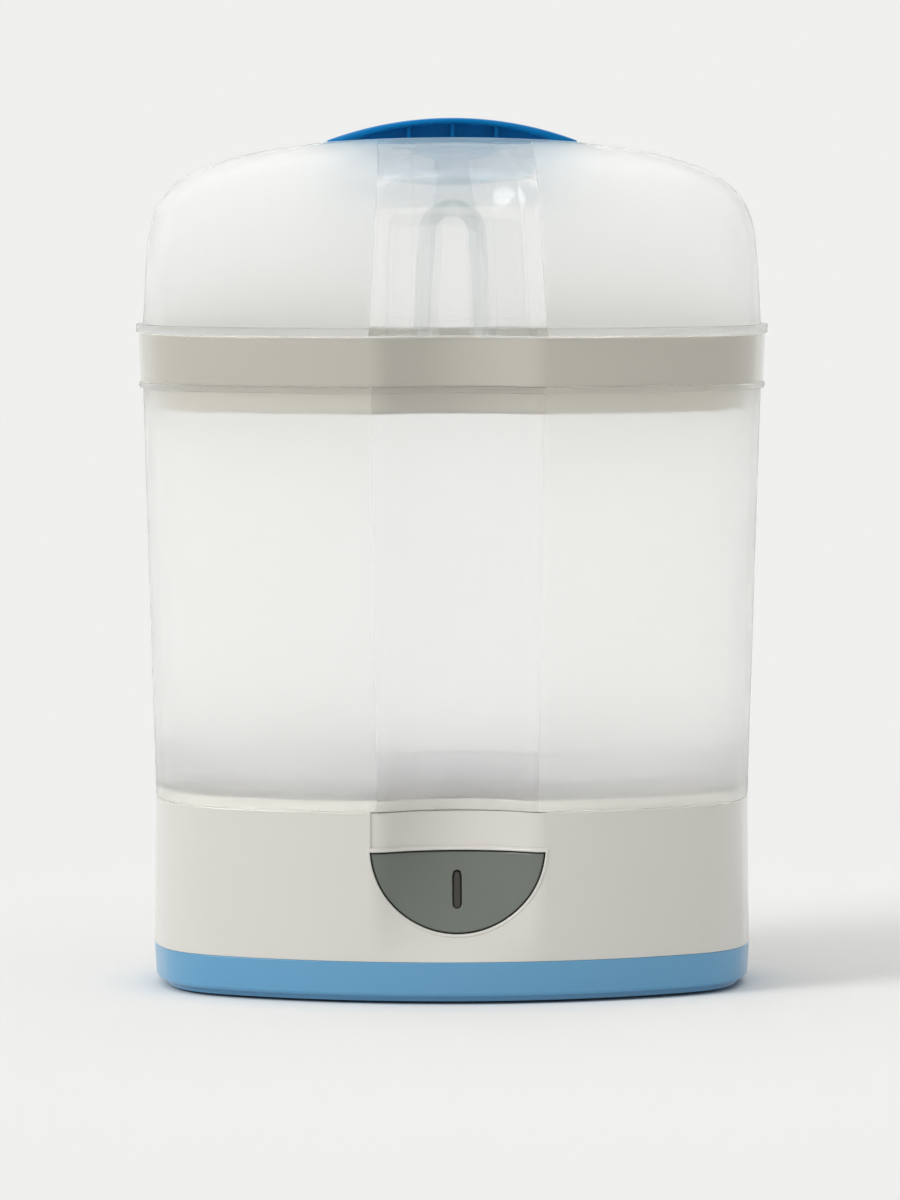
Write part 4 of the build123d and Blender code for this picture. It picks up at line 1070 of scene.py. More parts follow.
def present(piece: bpy.types.Object, finish: Finish, unit: Unit, *nodes: str) -> bpy.types.Object:
    """Finish a piece, hang it on its body and let it stand for its nodes.

    Args:
        piece: The piece.
        finish: Its finish.
        unit: The body it rides on.
        nodes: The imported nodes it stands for.

    Returns:
        The same piece.
    """
    piece.data.materials.clear()
    piece.data.materials.append(finish.make())
    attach(piece, unit.value)
    if nodes:
        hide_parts(*nodes)
    LOG.info("%s: %d faces on %s", piece.name, len(piece.data.polygons), unit.value)
    return piece


class Seams:
    """Heights at which the pieces meet, read from the frame."""

    ring_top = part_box("base_housing")[0].z
    plate_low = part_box("heating_plate")[0].z
    body_low, body_top = (corner.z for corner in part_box("main_body"))
    housing_top = body_low - SEAT_GAP
    rack_low, rack_top = (corner.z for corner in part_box("bottle_rack"))
    bowl_low, band_top = (corner.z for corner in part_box("tray"))
    band_low = body_top + SEAT_GAP
    loop_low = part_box("tray_handle")[0].z
    lid_low = band_top + SEAT_GAP
    insert_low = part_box("handle_bowl")[0].z
    grip_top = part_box("handle_grip")[1].z


@dataclass(frozen=True)
class HalfMoon:
    """The outline of the power button: a disc cut off level above its middle."""

    radius: float = 0.0376
    centre: float = 0.0675
    top: float = 0.0652
    arc_points: int = 72
    line_points: int = 24

    def points(self, inset: float) -> list[tuple[float, float]]:
        """Points of the outline as pairs of x and z, from the right end of the top edge down.

        Args:
            inset: How far the outline is drawn in.

        Returns:
            The points, as many for every inset.
        """
        radius, top = self.radius - inset, self.top - inset
        first = math.asin((top - self.centre) / radius)
        last = -math.pi - first
        points = []
        for step in range(self.arc_points):
            turn = first + (last - first) * step / self.arc_points
            points.append((radius * math.cos(turn), self.centre + radius * math.sin(turn)))
        reach = radius * math.cos(first)
        for step in range(self.line_points):
            points.append((-reach + 2 * reach * step / self.line_points, top))
        return points


@dataclass(frozen=True)
class Slit:
    """The upright slit in the button, with round ends."""

    middle: float = 0.0486
    half_height: float = 0.0082
    half_width: float = 0.0020

    def toward(self, x: float, z: float, inset: float = 0.0) -> tuple[float, float]:
        """The point of the slit's outline on the way from its middle to a point.

        Args:
            x: Where the point lies along x.
            z: Its height.
            inset: How far the slit's outline is drawn in.

        Returns:
            Pair of x and z on the outline.
        """
        reach = math.hypot(x, z - self.middle)
        across, up = x / reach, (z - self.middle) / reach
        half_width = self.half_width - inset
        straight = self.half_height - self.half_width
        distance = half_width / max(abs(across), WELD)
        if abs(up) * distance > straight:
            distance = straight * abs(up) + math.sqrt(max(0.0, half_width**2 - (straight * across) ** 2))
        return (across * distance, self.middle + up * distance)


@dataclass(frozen=True)
class BaseUnit:
    """Base ring, housing with its basin, power button and cord bushing."""

    ring_bottom: float = 0.0012
    skirt_inset: float = 0.0050
    skirt_top: float = 0.0034
    ring_floor: float = 0.0026
    ring_wall: float = 0.0030
    ring_taper: float = 0.0009
    lip_inset: float = 0.0036
    lip_wall: float = 0.0018
    lip_height: float = 0.0020
    vent_half_length: float = 0.0130
    vent_half_width: float = 0.0012
    vent_reach: float = 0.046
    vent_pitch: float = 0.006
    vent_count: int = 6
    screw_x: float = 0.070
    screw_y: float = 0.055
    well_radius: float = 0.0038
    foot_x: float = 0.092
    foot_y: float = 0.044
    foot_radius: float = 0.00715
    foot_recess: float = 0.0014
    mid_height: float = 0.0310
    mid_waist: float = 0.0115
    wall: float = 0.0026
    upstand_height: float = 0.0045
    upstand_wall: float = 0.0020
    basin_floor: float = 0.0740
    deck_under: float = 0.0715
    hole_radius: float = 0.0560
    panel_half_width: float = 0.0374
    panel_depth: float = 0.0008
    panel_bottom: float = 0.0672
    opening_front: float = -0.100
    opening_back: float = -0.062
    lip_reach: float = 0.0013
    lip_rise: float = 0.00045
    button_gap: float = 0.00045
    button_set: float = 0.0004
    button_skin: float = 0.0022
    button_wall: float = 0.0016
    button_back: float = -0.068
    button_edge: float = 0.0008
    guide_set: float = 0.0012
    seat_front: float = 0.072
    seat_back: float = 0.084
    seat_reach: float = 0.0087
    seat_bore: float = 0.0061
    seat_edge: float = 0.0004
    gland_height: float = 0.0294
    gland_front: float = 0.069
    gland_back: float = 0.0856
    gland_bore: float = 0.0036
    gland_body: float = 0.0060
    gland_flange: float = 0.0080
    gland_edge: float = 0.0005
    gland_steps: int = 64
    moon: HalfMoon = HalfMoon()
    slit: Slit = Slit()

    def form(self) -> Swell:
        """The housing's outer form.

        Returns:
            The form, from the ring up to the body.
        """
        share = self.mid_height / (Seams.housing_top - Seams.ring_top)
        middle = RING_OUTLINE.part_way(JOIN_OUTLINE, share, self.mid_waist)
        heights = (Seams.ring_top, Seams.ring_top + self.mid_height, Seams.housing_top)
        return Swell((RING_OUTLINE, middle, JOIN_OUTLINE), heights)

    def build(self) -> None:
        """Build and dress every piece."""
        self.base_ring()
        self.housing()
        self.button()
        self.guide()
        self.bushing()

    def base_ring(self) -> None:
        """Blue bottom cover with its skirt, locating lip, vents and wells."""
        top = Seams.ring_top
        floor_top = self.ring_bottom + self.ring_floor
        corners = [
            Corner(self.skirt_inset, self.ring_bottom),
            Corner(self.skirt_inset, self.skirt_top),
            Corner(self.ring_taper, self.skirt_top, 0.0022),
            Corner(0.0, top, 0.0005),
            Corner(self.lip_inset, top),
            Corner(self.lip_inset, top + self.lip_height, 0.0003),
            Corner(self.lip_inset + self.lip_wall, top + self.lip_height, 0.0003),
            Corner(self.lip_inset + self.lip_wall, top - self.lip_height),
            Corner(self.ring_wall, top - self.lip_height),
            Corner(self.ring_wall, self.skirt_top + self.ring_floor),
            Corner(self.skirt_inset + self.ring_wall, self.skirt_top + self.ring_floor),
            Corner(self.skirt_inset + self.ring_wall, floor_top),
        ]
        form = Taper(RING_OUTLINE, self.ring_bottom, RING_OUTLINE, top)
        rings = wall_rings(form, profile(corners, closed=False))
        piece = Skin("base_cover", rings[0]).pull(rings[1:]).cap()
        places = []
        for index in range(self.vent_count):
            y = (index - (self.vent_count - 1) / 2) * self.vent_pitch
            places += [(-self.vent_reach, y), (self.vent_reach, y)]
        below, above = self.ring_bottom - PAST, floor_top + PAST
        cut(piece, copies_at(places, self.vent_half_length, self.vent_half_width, below, above))
        wells = four_corners(self.screw_x, self.screw_y)
        cut(piece, copies_at(wells, self.well_radius, self.well_radius, below, above))
        feet = four_corners(self.foot_x, self.foot_y)
        foot_top = self.ring_bottom + self.foot_recess
        cut(piece, copies_at(feet, self.foot_radius, self.foot_radius, below, foot_top))
        present(smooth(piece), BLUE_RING, Unit.BASE, "base_ring")

    def housing(self) -> None:
        """White housing: waisted wall with its panel, button opening and lip, basin and upstand."""
        form = self.form()
        low, top = Seams.ring_top, Seams.housing_top
        upstand_inner = self.wall + self.upstand_wall
        floor_inset = upstand_inner + 0.004
        outside = [
            Corner(self.wall, low),
            Corner(0.0, low, 0.0004),
            Corner(0.0, top, 0.0006),
            Corner(self.wall, top),
        ]
        basin = [
            Corner(self.wall, top),
            Corner(self.wall, top + self.upstand_height, 0.0004),
            Corner(upstand_inner, top + self.upstand_height, 0.0004),
            Corner(upstand_inner, self.basin_floor, 0.002),
            Corner(floor_inset, self.basin_floor),
        ]
        rings = wall_rings(form, profile(outside, closed=False, longest=0.0035))
        straight = Taper(JOIN_OUTLINE, low, JOIN_OUTLINE, top)
        rings += wall_rings(straight, profile(basin, closed=False)[1:])
        hole = round_ring(rings[-1], self.hole_radius, self.hole_radius, self.basin_floor)
        rings += ease_between(rings[-1], hole, 5)
        low_hole = [Vector((point.x, point.y, self.deck_under)) for point in hole]
        inner_top = form.ring(self.deck_under, self.wall)
        rings += [low_hole] + ease_between(low_hole, inner_top, 4)
        rings += wall_rings(form, profile([Corner(self.wall, self.deck_under), Corner(self.wall, low)],
                                          closed=False)[1:-1])
        piece = Skin("housing", rings[0]).pull(rings[1:]).close()
        self.recess_panel(piece)
        cut(piece, self.moon_prism(self.opening_front, self.opening_back))
        shell = join([smooth(piece), self.opening_lip(), self.bushing_pad()], "housing_shell")
        present(shell, WHITE_HOUSING, Unit.BASE, "base_housing", "basin_floor", "cord_seat")

    def recess_panel(self, piece: bpy.types.Object) -> None:
        """Set the panel above the button back into the front wall.

        Args:
            piece: The housing.
        """
        pick(piece)
        bpy.ops.object.mode_set(mode="EDIT")
        cuts = (
            ((self.panel_half_width, 0.0, 0.0), (1.0, 0.0, 0.0)),
            ((-self.panel_half_width, 0.0, 0.0), (1.0, 0.0, 0.0)),
            ((0.0, 0.0, self.panel_bottom), (0.0, 0.0, 1.0)),
        )
        for place, normal in cuts:
            self.select_front(piece, self.panel_half_width + 0.01, self.panel_bottom - 0.01)
            bpy.ops.mesh.bisect(plane_co=place, plane_no=normal)
        self.select_front(piece, self.panel_half_width, self.panel_bottom)
        bpy.ops.mesh.extrude_region_move()
        bpy.ops.transform.translate(value=(0.0, self.panel_depth, 0.0))
        bpy.ops.object.mode_set(mode="OBJECT")

    def select_front(self, piece: bpy.types.Object, half_width: float, bottom: float) -> None:
        """Select the faces of the front wall's outside, within half_width and above bottom.

        Args:
            piece: The housing, in edit mode.
            half_width: Reach to each side.
            bottom: Height above which faces count.
        """
        bpy.ops.mesh.select_mode(type="FACE")
        bpy.ops.mesh.select_all(action="DESELECT")
        mesh = bmesh.from_edit_mesh(piece.data)
        form = self.form()
        for face in mesh.faces:
            middle = face.calc_center_median()
            if middle.y > 0 or abs(middle.x) > half_width or not bottom < middle.z <= Seams.housing_top:
                continue
            wall = form.front(middle.x, middle.z, 0.0)
            face.select_set(middle.y < wall + self.wall / 2)
        bmesh.update_edit_mesh(piece.data)

    def moon_prism(self, front: float, back: float) -> bpy.types.Object:
        """The half-moon as a solid between two depths.

        Args:
            front: Depth of its front.
            back: Depth of its back.

        Returns:
            The solid.
        """
        points = self.moon.points(0.0)
        skin = Skin("moon", [Vector((x, front, z)) for x, z in points])
        return skin.pull([[Vector((x, back, z)) for x, z in points]]).cap()

    def opening_lip(self) -> bpy.types.Object:
        """The raised rim round the button's opening, swept along the half-moon.

        Returns:
            The rim.
        """
        form = self.form()

        def on_wall(inset: float, behind: float) -> Ring:
            """The half-moon drawn in by inset and set behind the housing's skin."""
            return [Vector((x, form.front(x, z, behind), z)) for x, z in self.moon.points(inset)]

        rings = []
        steps = 8
        for step in range(steps + 1):
            turn = math.pi * step / steps
            inset = -self.lip_reach / 2 * (1 - math.cos(turn))
            rings.append(on_wall(inset, -self.lip_rise * math.sin(turn)))
        rings += [on_wall(-self.lip_reach, self.wall / 2), on_wall(0.0, self.wall / 2)]
        return smooth(Skin("lip", rings[0]).pull(rings[1:]).close())

    def bushing_pad(self) -> bpy.types.Object:
        """The square pad on the rear wall with rounded corners, which carries the cord bushing.

        Returns:
            The pad.
        """
        turns = [math.tau * index / self.gland_steps for index in range(self.gland_steps)]
        circle, square = 2, 16

        def ring(reach: float, depth: float, power: float) -> Ring:
            """A closed curve round the bushing: a circle at power 2, nearer to a square above it.

            Args:
                reach: Half of its width.
                depth: Its depth, along y.
                power: How square it is.

            Returns:
                The curve.
            """
            places = []
            for turn in turns:
                x, z = math.cos(turn), math.sin(turn)
                size = reach / (abs(x) ** power + abs(z) ** power) ** (1 / power)
                places.append(Vector((x * size, depth, self.gland_height + z * size)))
            return places

        front, back, edge = self.seat_front, self.seat_back, self.seat_edge
        rings = [ring(self.seat_bore, front, circle), ring(self.seat_reach, front, square)]
        rings += [ring(self.seat_reach, back - edge, square), ring(self.seat_reach - edge, back, square)]
        rings.append(ring(self.seat_bore, back, circle))
        return smooth(Skin("pad", rings[0]).pull(rings[1:]).close())

    def button(self) -> None:
        """Grey half-moon button whose face follows the housing, with its slit and guide pins."""
        form = self.form()

        def on_face(points: Sequence[tuple[float, float]], behind: float) -> Ring:
            """Points of the button set behind its face."""
            return [Vector((x, form.front(x, z, self.button_set) + behind, z)) for x, z in points]

        def slit_points(inset: float) -> list[tuple[float, float]]:
            """The slit's outline, with a point for each of the half-moon's."""
            return [self.slit.toward(x, z, inset) for x, z in self.moon.points(self.button_gap)]

        def across(first: list, second: list, share: float) -> list[tuple[float, float]]:
            """Points between two outlines."""
            return [(a[0] + (b[0] - a[0]) * share, a[1] + (b[1] - a[1]) * share)
                    for a, b in zip(first, second)]

        gap = self.button_gap
        rim = self.moon.points(gap)
        rings = [[Vector((x, self.button_back, z)) for x, z in rim], on_face(rim, 0.004)]
        rings.append(on_face(rim, 0.002))
        steps = 5
        for step in range(steps + 1):
            turn = math.pi / 2 * step / steps
            inset = gap + self.button_edge * (1 - math.cos(turn))
            rings.append(on_face(self.moon.points(inset), self.button_edge * (1 - math.sin(turn))))
        edge, slit = self.moon.points(gap + self.button_edge), slit_points(-0.0004)
        face_steps = 14
        rings += [on_face(across(edge, slit, step / face_steps), 0.0) for step in range(1, face_steps + 1)]
        hole = slit_points(0.0)
        rings += [on_face(slit_points(-0.0001), 0.0001), on_face(hole, 0.0004)]
        rings.append(on_face(hole, self.button_skin))
        inner = self.moon.points(gap + self.button_wall)
        rings += [on_face(across(hole, inner, share), self.button_skin) for share in (0.3, 0.7, 1.0)]
        rings.append([Vector((x, self.button_back, z)) for x, z in inner])
        piece = smooth(Skin("button", rings[0]).pull(rings[1:]).close(), 50)
        pins = [self.pin(x, height=0.052, front=-0.072, back=-0.057, radius=0.002) for x in (-0.022, 0.022)]
        pins.append(self.pin(0.0, height=0.036, front=-0.076, back=-0.0603, radius=0.0025))
        present(join([piece] + pins, "button_cap"), GREY_BUTTON, Unit.BUTTON, "power_button")

    def pin(self, x: float, height: float, front: float, back: float, radius: float) -> bpy.types.Object:
        """A pin behind the button, with a rounded end.

        Args:
            x: Its place to the side.
            height: Height of its axis.
            front: Depth of its front end.
            back: Depth of its rounded end.
            radius: Its radius.

        Returns:
            The pin.
        """
        edge = 0.0004
        outline = [(0.0, front), (radius, front), (radius, back - edge), (radius - edge, back), (0.0, back)]
        piece = spun("pin", outline, 24, (0, 1, 0), (0, 0, height))
        bpy.ops.transform.translate(value=(x, 0.0, 0.0))
        bpy.ops.object.transform_apply(location=True, rotation=False, scale=False)
        return smooth(piece)

    def guide(self) -> None:
        """Smoked bar in the button's slit, slightly domed."""
        form = self.form()
        clearance, bulge, steps = 0.0002, 0.0004, 5
        rim = [self.slit.toward(x, z, clearance) for x, z in self.moon.points(0.0)]

        def bar(share: float, behind: float) -> Ring:
            """The slit's outline shrunk towards its middle line, set behind the button's face.

            Args:
                share: Share of its width that is left.
                behind: Distance behind the button's face.

            Returns:
                The outline.
            """
            ring = []
            for x, z in rim:
                reach = self.slit.half_height - self.slit.half_width
                spine = min(max(z, self.slit.middle - reach), self.slit.middle + reach)
                place = Vector((x * share, 0.0, spine + (z - spine) * share))
                place.y = form.front(place.x, place.z, self.button_set) + behind
                ring.append(place)
            return ring

        rings = [bar(1.0, 0.010), bar(1.0, self.guide_set + bulge)]
        for step in range(1, steps):
            share = 1 - step / steps
            rings.append(bar(share, self.guide_set + bulge * share**2))
        rings.append(bar(0.02, self.guide_set))
        piece = Skin("light_bar", rings[0]).pull(rings[1:]).cap()
        present(smooth(piece, 60), SMOKED_GUIDE, Unit.BUTTON, "light_guide")

    def bushing(self) -> None:
        """Black cord bushing with a flange outside and a collar inside."""
        bore, body, flange = self.gland_bore, self.gland_body, self.gland_flange
        front, back, edge = self.gland_front, self.gland_back, self.gland_edge
        outline = [
            (bore, front), (flange, front), (flange, self.seat_front), (body, self.seat_front),
            (body, self.seat_back), (flange, self.seat_back), (flange, back - edge), (flange - edge, back),
            (bore + edge, back), (bore, back - edge),
        ]
        piece = spun("cord_bushing", outline, self.gland_steps, (0, 1, 0), (0, 0, self.gland_height))
        present(smooth(piece), BLACK_MOULDING, Unit.BASE, "cord_gland")


@dataclass(frozen=True)
class HotPlate:
    """Stainless dish in the basin and the silicone ring under its rim."""

    radius: float = 0.060
    thickness: float = 0.001
    dish_radius: float = 0.055
    dish_rise: float = 0.0008
    middle_radius: float = 0.0085
    slope_radius: float = 0.020
    seal_lip: float = 0.0014
    hole_radius: float = 0.056
    floor: float = 0.0740

    def build(self) -> None:
        """Build and dress both pieces."""
        under = self.floor + 0.001
        low = Seams.plate_low
        thick, rise = self.thickness, self.dish_rise
        top, inside = under + thick, self.dish_radius - thick
        outline = [
            (0.0, low + rise), (self.middle_radius, low + rise), (self.slope_radius, low),
            (self.dish_radius - rise, low), (self.dish_radius, low + rise), (self.dish_radius, under),
            (self.radius, under), (self.radius, under + thick * 0.7), (self.radius - 0.0003, top),
            (inside + 0.0005, top), (inside, top - 0.0005), (inside, low + thick + rise),
            (inside - rise, low + thick), (self.slope_radius, low + thick),
            (self.middle_radius, low + rise + thick), (0.0, low + rise + thick),
        ]
        plate = smooth(spun("hot_plate", outline, 128), 25)
        present(plate, STAINLESS, Unit.BASE, "heating_plate")
        lip = self.radius + self.seal_lip
        outline = [
            (self.hole_radius, self.floor), (lip, self.floor), (lip, top - 0.0004), (lip - 0.0004, top),
            (self.radius, top), (self.radius, under), (self.hole_radius, under),
        ]
        present(smooth(spun("seal_ring", outline, 128)), SILICONE, Unit.BASE, "plate_seal")


@dataclass(frozen=True)
class BodyUnit:
    """Frosted body with its rim and ledge, and the rack that stands on the ledge."""

    wall: float = 0.0022
    rim_height: float = 0.0025
    rim_reach: float = 0.00165
    ledge_low: float = 0.0880
    ledge_top: float = 0.0900
    ledge_width: float = 0.0050
    rack_inset: float = 0.0028
    rack_wall: float = 0.0020
    rack_floor: float = 0.0923
    rack_floor_top: float = 0.0943

    def form(self) -> Taper:
        """The body's tapering wall."""
        return Taper(JOIN_OUTLINE, Seams.body_low, BODY_TOP_OUTLINE, Seams.body_top)

    def build(self) -> None:
        """Build and dress the body and the rack."""
        self.body()
        self.rack()

    def body(self) -> None:
        """Frosted wall, open above and below."""
        low, top = Seams.body_low, Seams.body_top
        rim_low = top - self.rim_height
        corners = [
            Corner(0.0, low, 0.0008),
            Corner(0.0, rim_low, 0.0004),
            Corner(-self.rim_reach, rim_low, 0.0005),
            Corner(-self.rim_reach, top, 0.0006),
            Corner(self.wall, top, 0.0004),
            Corner(self.wall, self.ledge_top),
            Corner(self.wall + self.ledge_width, self.ledge_top, 0.0005),
            Corner(self.wall + self.ledge_width, self.ledge_low, 0.0005),
            Corner(self.wall, self.ledge_low),
            Corner(self.wall, low, 0.0004),
        ]
        rings = wall_rings(self.form(), profile(corners))
        piece = Skin("body_shell", rings[0]).pull(rings[1:]).close()
        present(smooth(piece), FROSTED_BODY, Unit.BODY, "main_body")

    def rack(self) -> None:
        """Perforated floor inside a raised rim."""
        low, top = Seams.rack_low, Seams.rack_top
        share = (low - Seams.body_low) / (Seams.body_top - Seams.body_low)
        outline = JOIN_OUTLINE.part_way(BODY_TOP_OUTLINE, share)
        inner = self.rack_inset + self.rack_wall
        corners = [
            Corner(inner + 0.001, self.rack_floor),
            Corner(inner, self.rack_floor),
            Corner(inner, low),
            Corner(self.rack_inset, low, 0.0005),
            Corner(self.rack_inset, top, 0.0007),
            Corner(inner, top, 0.0007),
            Corner(inner, self.rack_floor_top, 0.0012),
            Corner(inner + 0.003, self.rack_floor_top),
        ]
        form = Taper(outline, low, outline, top)
        rings = wall_rings(form, profile(corners, closed=False))
        piece = Skin("rack", rings[0]).pull(rings[1:]).cap()
        field_x, field_y = JOIN_OUTLINE.half_width - 0.012, JOIN_OUTLINE.half_depth - 0.012
        grid = SlotGrid(half_length=0.0055, half_width=0.0025, pitch_x=0.017, pitch_y=0.013,
                        columns=13, rows=9, field_x=field_x, field_y=field_y)
        cut(piece, grid.cutter(self.rack_floor - PAST, self.rack_floor_top + PAST))
        present(smooth(piece), MILKY_RACK, Unit.RACK, "bottle_rack")


@dataclass(frozen=True)
class TrayUnit:
    """Cream tray with its band and bowl, and the loop handle that stands in it. The tray's colour is
    darkened as painted shade.
    """

    band_wall: float = 0.0024
    shelf_top: float = 0.0024
    bowl_inset: float = 0.0043
    bowl_wall: float = 0.0020
    bowl_floor: float = 0.0020
    loop_radius: float = 0.01495
    loop_foot: float = 0.0186
    inner_radius: float = 0.00725
    inner_foot: float = 0.0116
    loop_centre: float = 0.32835
    web: float = 0.0030
    flange: float = 0.0080
    flange_wall: float = 0.0018
    foot_length: float = 0.048
    foot_depth: float = 0.014
    foot_height: float = 0.0024

    def build(self) -> None:
        """Build and dress the tray and its handle."""
        self.tray()
        self.loop()

    def tray(self) -> None:
        """Band that crowns the body and the slotted bowl that hangs inside it."""
        low, top = Seams.band_low, Seams.band_top
        bowl_low = Seams.bowl_low
        shelf = low + self.shelf_top
        inner = self.bowl_inset + self.bowl_wall
        floor = bowl_low + self.bowl_floor
        corners = [
            Corner(self.bowl_inset + 0.006, bowl_low),
            Corner(self.bowl_inset, bowl_low, 0.0025),
            Corner(self.bowl_inset, low),
            Corner(0.0, low, 0.0009),
            Corner(0.0, top, 0.0007),
            Corner(self.band_wall, top, 0.0006),
            Corner(self.band_wall, shelf, 0.0006),
            Corner(inner, shelf, 0.0008),
            Corner(inner, floor, 0.0030),
            Corner(inner + 0.005, floor),
        ]
        form = Taper(BAND_LOW_OUTLINE, low, BAND_TOP_OUTLINE, top)
        rings = wall_rings(form, profile(corners, closed=False))
        piece = Skin("tray_shell", rings[0]).pull(rings[1:]).cap()
        field_x, field_y = BODY_TOP_OUTLINE.half_width - 0.014, BODY_TOP_OUTLINE.half_depth - 0.014
        grid = SlotGrid(half_length=0.011, half_width=0.002, pitch_x=0.030, pitch_y=0.014,
                        columns=7, rows=8, field_x=field_x, field_y=field_y)
        cut(piece, grid.cutter(bowl_low - PAST, floor + PAST))
        # The band gets the cream plastic darkened as painted shade, not a darker plastic of its own.
        present(smooth(piece), SHADED_CREAM_TRAY, Unit.TRAY, "tray")

    def loop(self) -> None:
        """Loop handle: a thin web with a flange round its outside, on a foot plate."""
        floor = Seams.loop_low
        foot_top = floor + self.foot_height
        outer = self.arch(self.loop_radius, self.loop_foot, floor)
        rim = self.arch(self.loop_radius - self.flange_wall, self.loop_foot - self.flange_wall, floor)
        inner = self.arch(self.inner_radius, self.inner_foot, foot_top - 0.001)
        flange, web = self.flange / 2, self.web / 2
        rings = []
        for out, step, gap in zip(outer, rim, inner):
            section = (
                (out, -flange), (out, flange), (step, flange), (step, web),
                (gap, web), (gap, -web), (step, -web), (step, -flange),
            )
            rings.append([Vector((place.x, y, place.z)) for place, y in section])
        arch = Skin("arch", rings[0]).pull(rings[1:]).cap()
        use_modifier(arch, "BEVEL", width=0.0003, segments=2, limit_method="ANGLE",
                     angle_limit=math.radians(40))
        foot = self.foot_plate(floor, foot_top)
        piece = join([smooth(arch), foot], "loop_handle")
        present(piece, MILKY_LOOP, Unit.TRAY, "tray_handle")

    def arch(self, radius: float, foot: float, bottom: float) -> list[Vector]:
        """Points of an arch on two splayed legs, from the right foot to the left.

        Args:
            radius: Radius of the arch.
            foot: Distance of each foot from the middle.
            bottom: Height of the feet.

        Returns:
            The points in x and z.
        """
        leg, bend = 8, 28
        start = Vector((foot, 0.0, bottom))
        spring = Vector((radius, 0.0, self.loop_centre))
        right = [start.lerp(spring, step / leg) for step in range(leg)]
        crown = []
        for step in range(bend + 1):
            turn = math.pi * step / bend
            crown.append(Vector((radius * math.cos(turn), 0.0, self.loop_centre + radius * math.sin(turn))))
        left = [Vector((-point.x, 0.0, point.z)) for point in reversed(right)]
        return right + crown + left

    def foot_plate(self, low: float, top: float) -> bpy.types.Object:
        """The plate under the loop: a slab with round ends and a softened edge.

        Args:
            low: Height of its underside.
            top: Height of its top.

        Returns:
            The plate.
        """
        half_length, half_depth = self.foot_length / 2, self.foot_depth / 2
        rings = []
        for inset, height in ((0.0, low), (0.0, top - 0.0006), (0.0002, top - 0.0002), (0.0006, top)):
            rings.append(slot_ring(0.0, 0.0, half_length - inset, half_depth - inset, height, 12))
        return smooth(Skin("foot", rings[0]).pull(rings[1:]).cap())


@dataclass(frozen=True)
class Dome:
    """The lid's dome: the plan shrinks with height by a superellipse of two powers."""

    outline: Outline
    foot: float
    height: float
    rise_power: float = 6.0
    spread_power: float = 2.2
    lean: float = 0.03
    steps: int = 1500

    def scale(self, level: float) -> float:
        """Share to which the plan has shrunk at a share of the height."""
        spread = (1 - level**self.rise_power) ** (1 / self.spread_power)
        return spread * (1 - self.lean * level)

    @lru_cache(maxsize=None)
    def curve(self) -> tuple[np.ndarray, np.ndarray]:
        """Levels from the crown down to the foot, and the scale at each.

        Returns:
            The levels and the scales.
        """
        levels = np.linspace(0.0, 1.0, self.steps + 1)
        levels = 1 - levels**2
        return levels, np.array([self.scale(level) for level in levels])

    def level_at(self, scale: float) -> float:
        """Share of the height at which the plan has shrunk to a scale."""
        levels, scales = self.curve()
        return float(np.interp(scale, scales, levels))

    @lru_cache(maxsize=None)
    def reaches(self, waisted: bool) -> tuple[np.ndarray, np.ndarray]:
        """Direction and reach of the front right quarter's outline, with or without its waist.

        Args:
            waisted: Whether the outline keeps its waist.

        Returns:
            The directions and the reaches.
        """
        outline = self.outline if waisted else replace(self.outline, waist=0.0)
        points = outline.quarter(0.0)
        turns = [math.atan2(-point.y, point.x) for point in reversed(points)]
        return np.array(turns), np.array([point.length for point in reversed(points)])

    def over(self, x: float, y: float, even: float) -> float:
        """Height of the dome's skin over a point of the plan.

        Args:
            x: The point's x.
            y: The point's y.
            even: How far the waist is evened out, from 0 to 1.

        Returns:
            The height.
        """
        turn = math.atan2(abs(y), abs(x))
        waisted, full = (float(np.interp(turn, *self.reaches(kind))) for kind in (True, False))
        reach = waisted + (full - waisted) * even
        return self.foot + self.height * self.level_at(math.hypot(x, y) / reach)

    def rings(self, count: int, last_scale: float) -> list[Ring]:
        """Rings spaced evenly along the profile, up to where the plan has shrunk to a scale.

        Args:
            count: How many rings.
            last_scale: Scale of the last ring.

        Returns:
            The rings, from the foot up.
        """
        levels, scales = (values[::-1] for values in self.curve())
        steps = np.hypot(np.diff(levels) * self.height, np.diff(scales) * self.outline.half_width)
        walked = np.concatenate([[0.0], np.cumsum(steps)])
        end = np.interp(self.level_at(last_scale), levels, walked)
        chosen = np.interp(np.linspace(0.0, end, count), walked, levels)
        return [self.outline.ring(self.foot + level * self.height, 0.0, self.scale(level))
                for level in chosen.tolist()]

    def onto(self, ring: Ring, even: float = 1.0) -> Ring:
        """A ring lifted onto the dome's skin, whose waist is evened out towards the crown."""
        return [Vector((p.x, p.y, self.over(p.x, p.y, even))) for p in ring]

    def crown(self, last: Ring, hole: Ring, steps: int) -> list[Ring]:
        """Rings on the skin from the last of the dome's rings to the hole in its crown.

        Args:
            last: The last of the dome's rings.
            hole: The hole's outline.
            steps: How many rings.

        Returns:
            The rings, without the first and with the hole's.
        """
        rings = ease_between(last, hole, steps)
        return [self.onto(ring, (step + 1) / steps) for step, ring in enumerate(rings)]


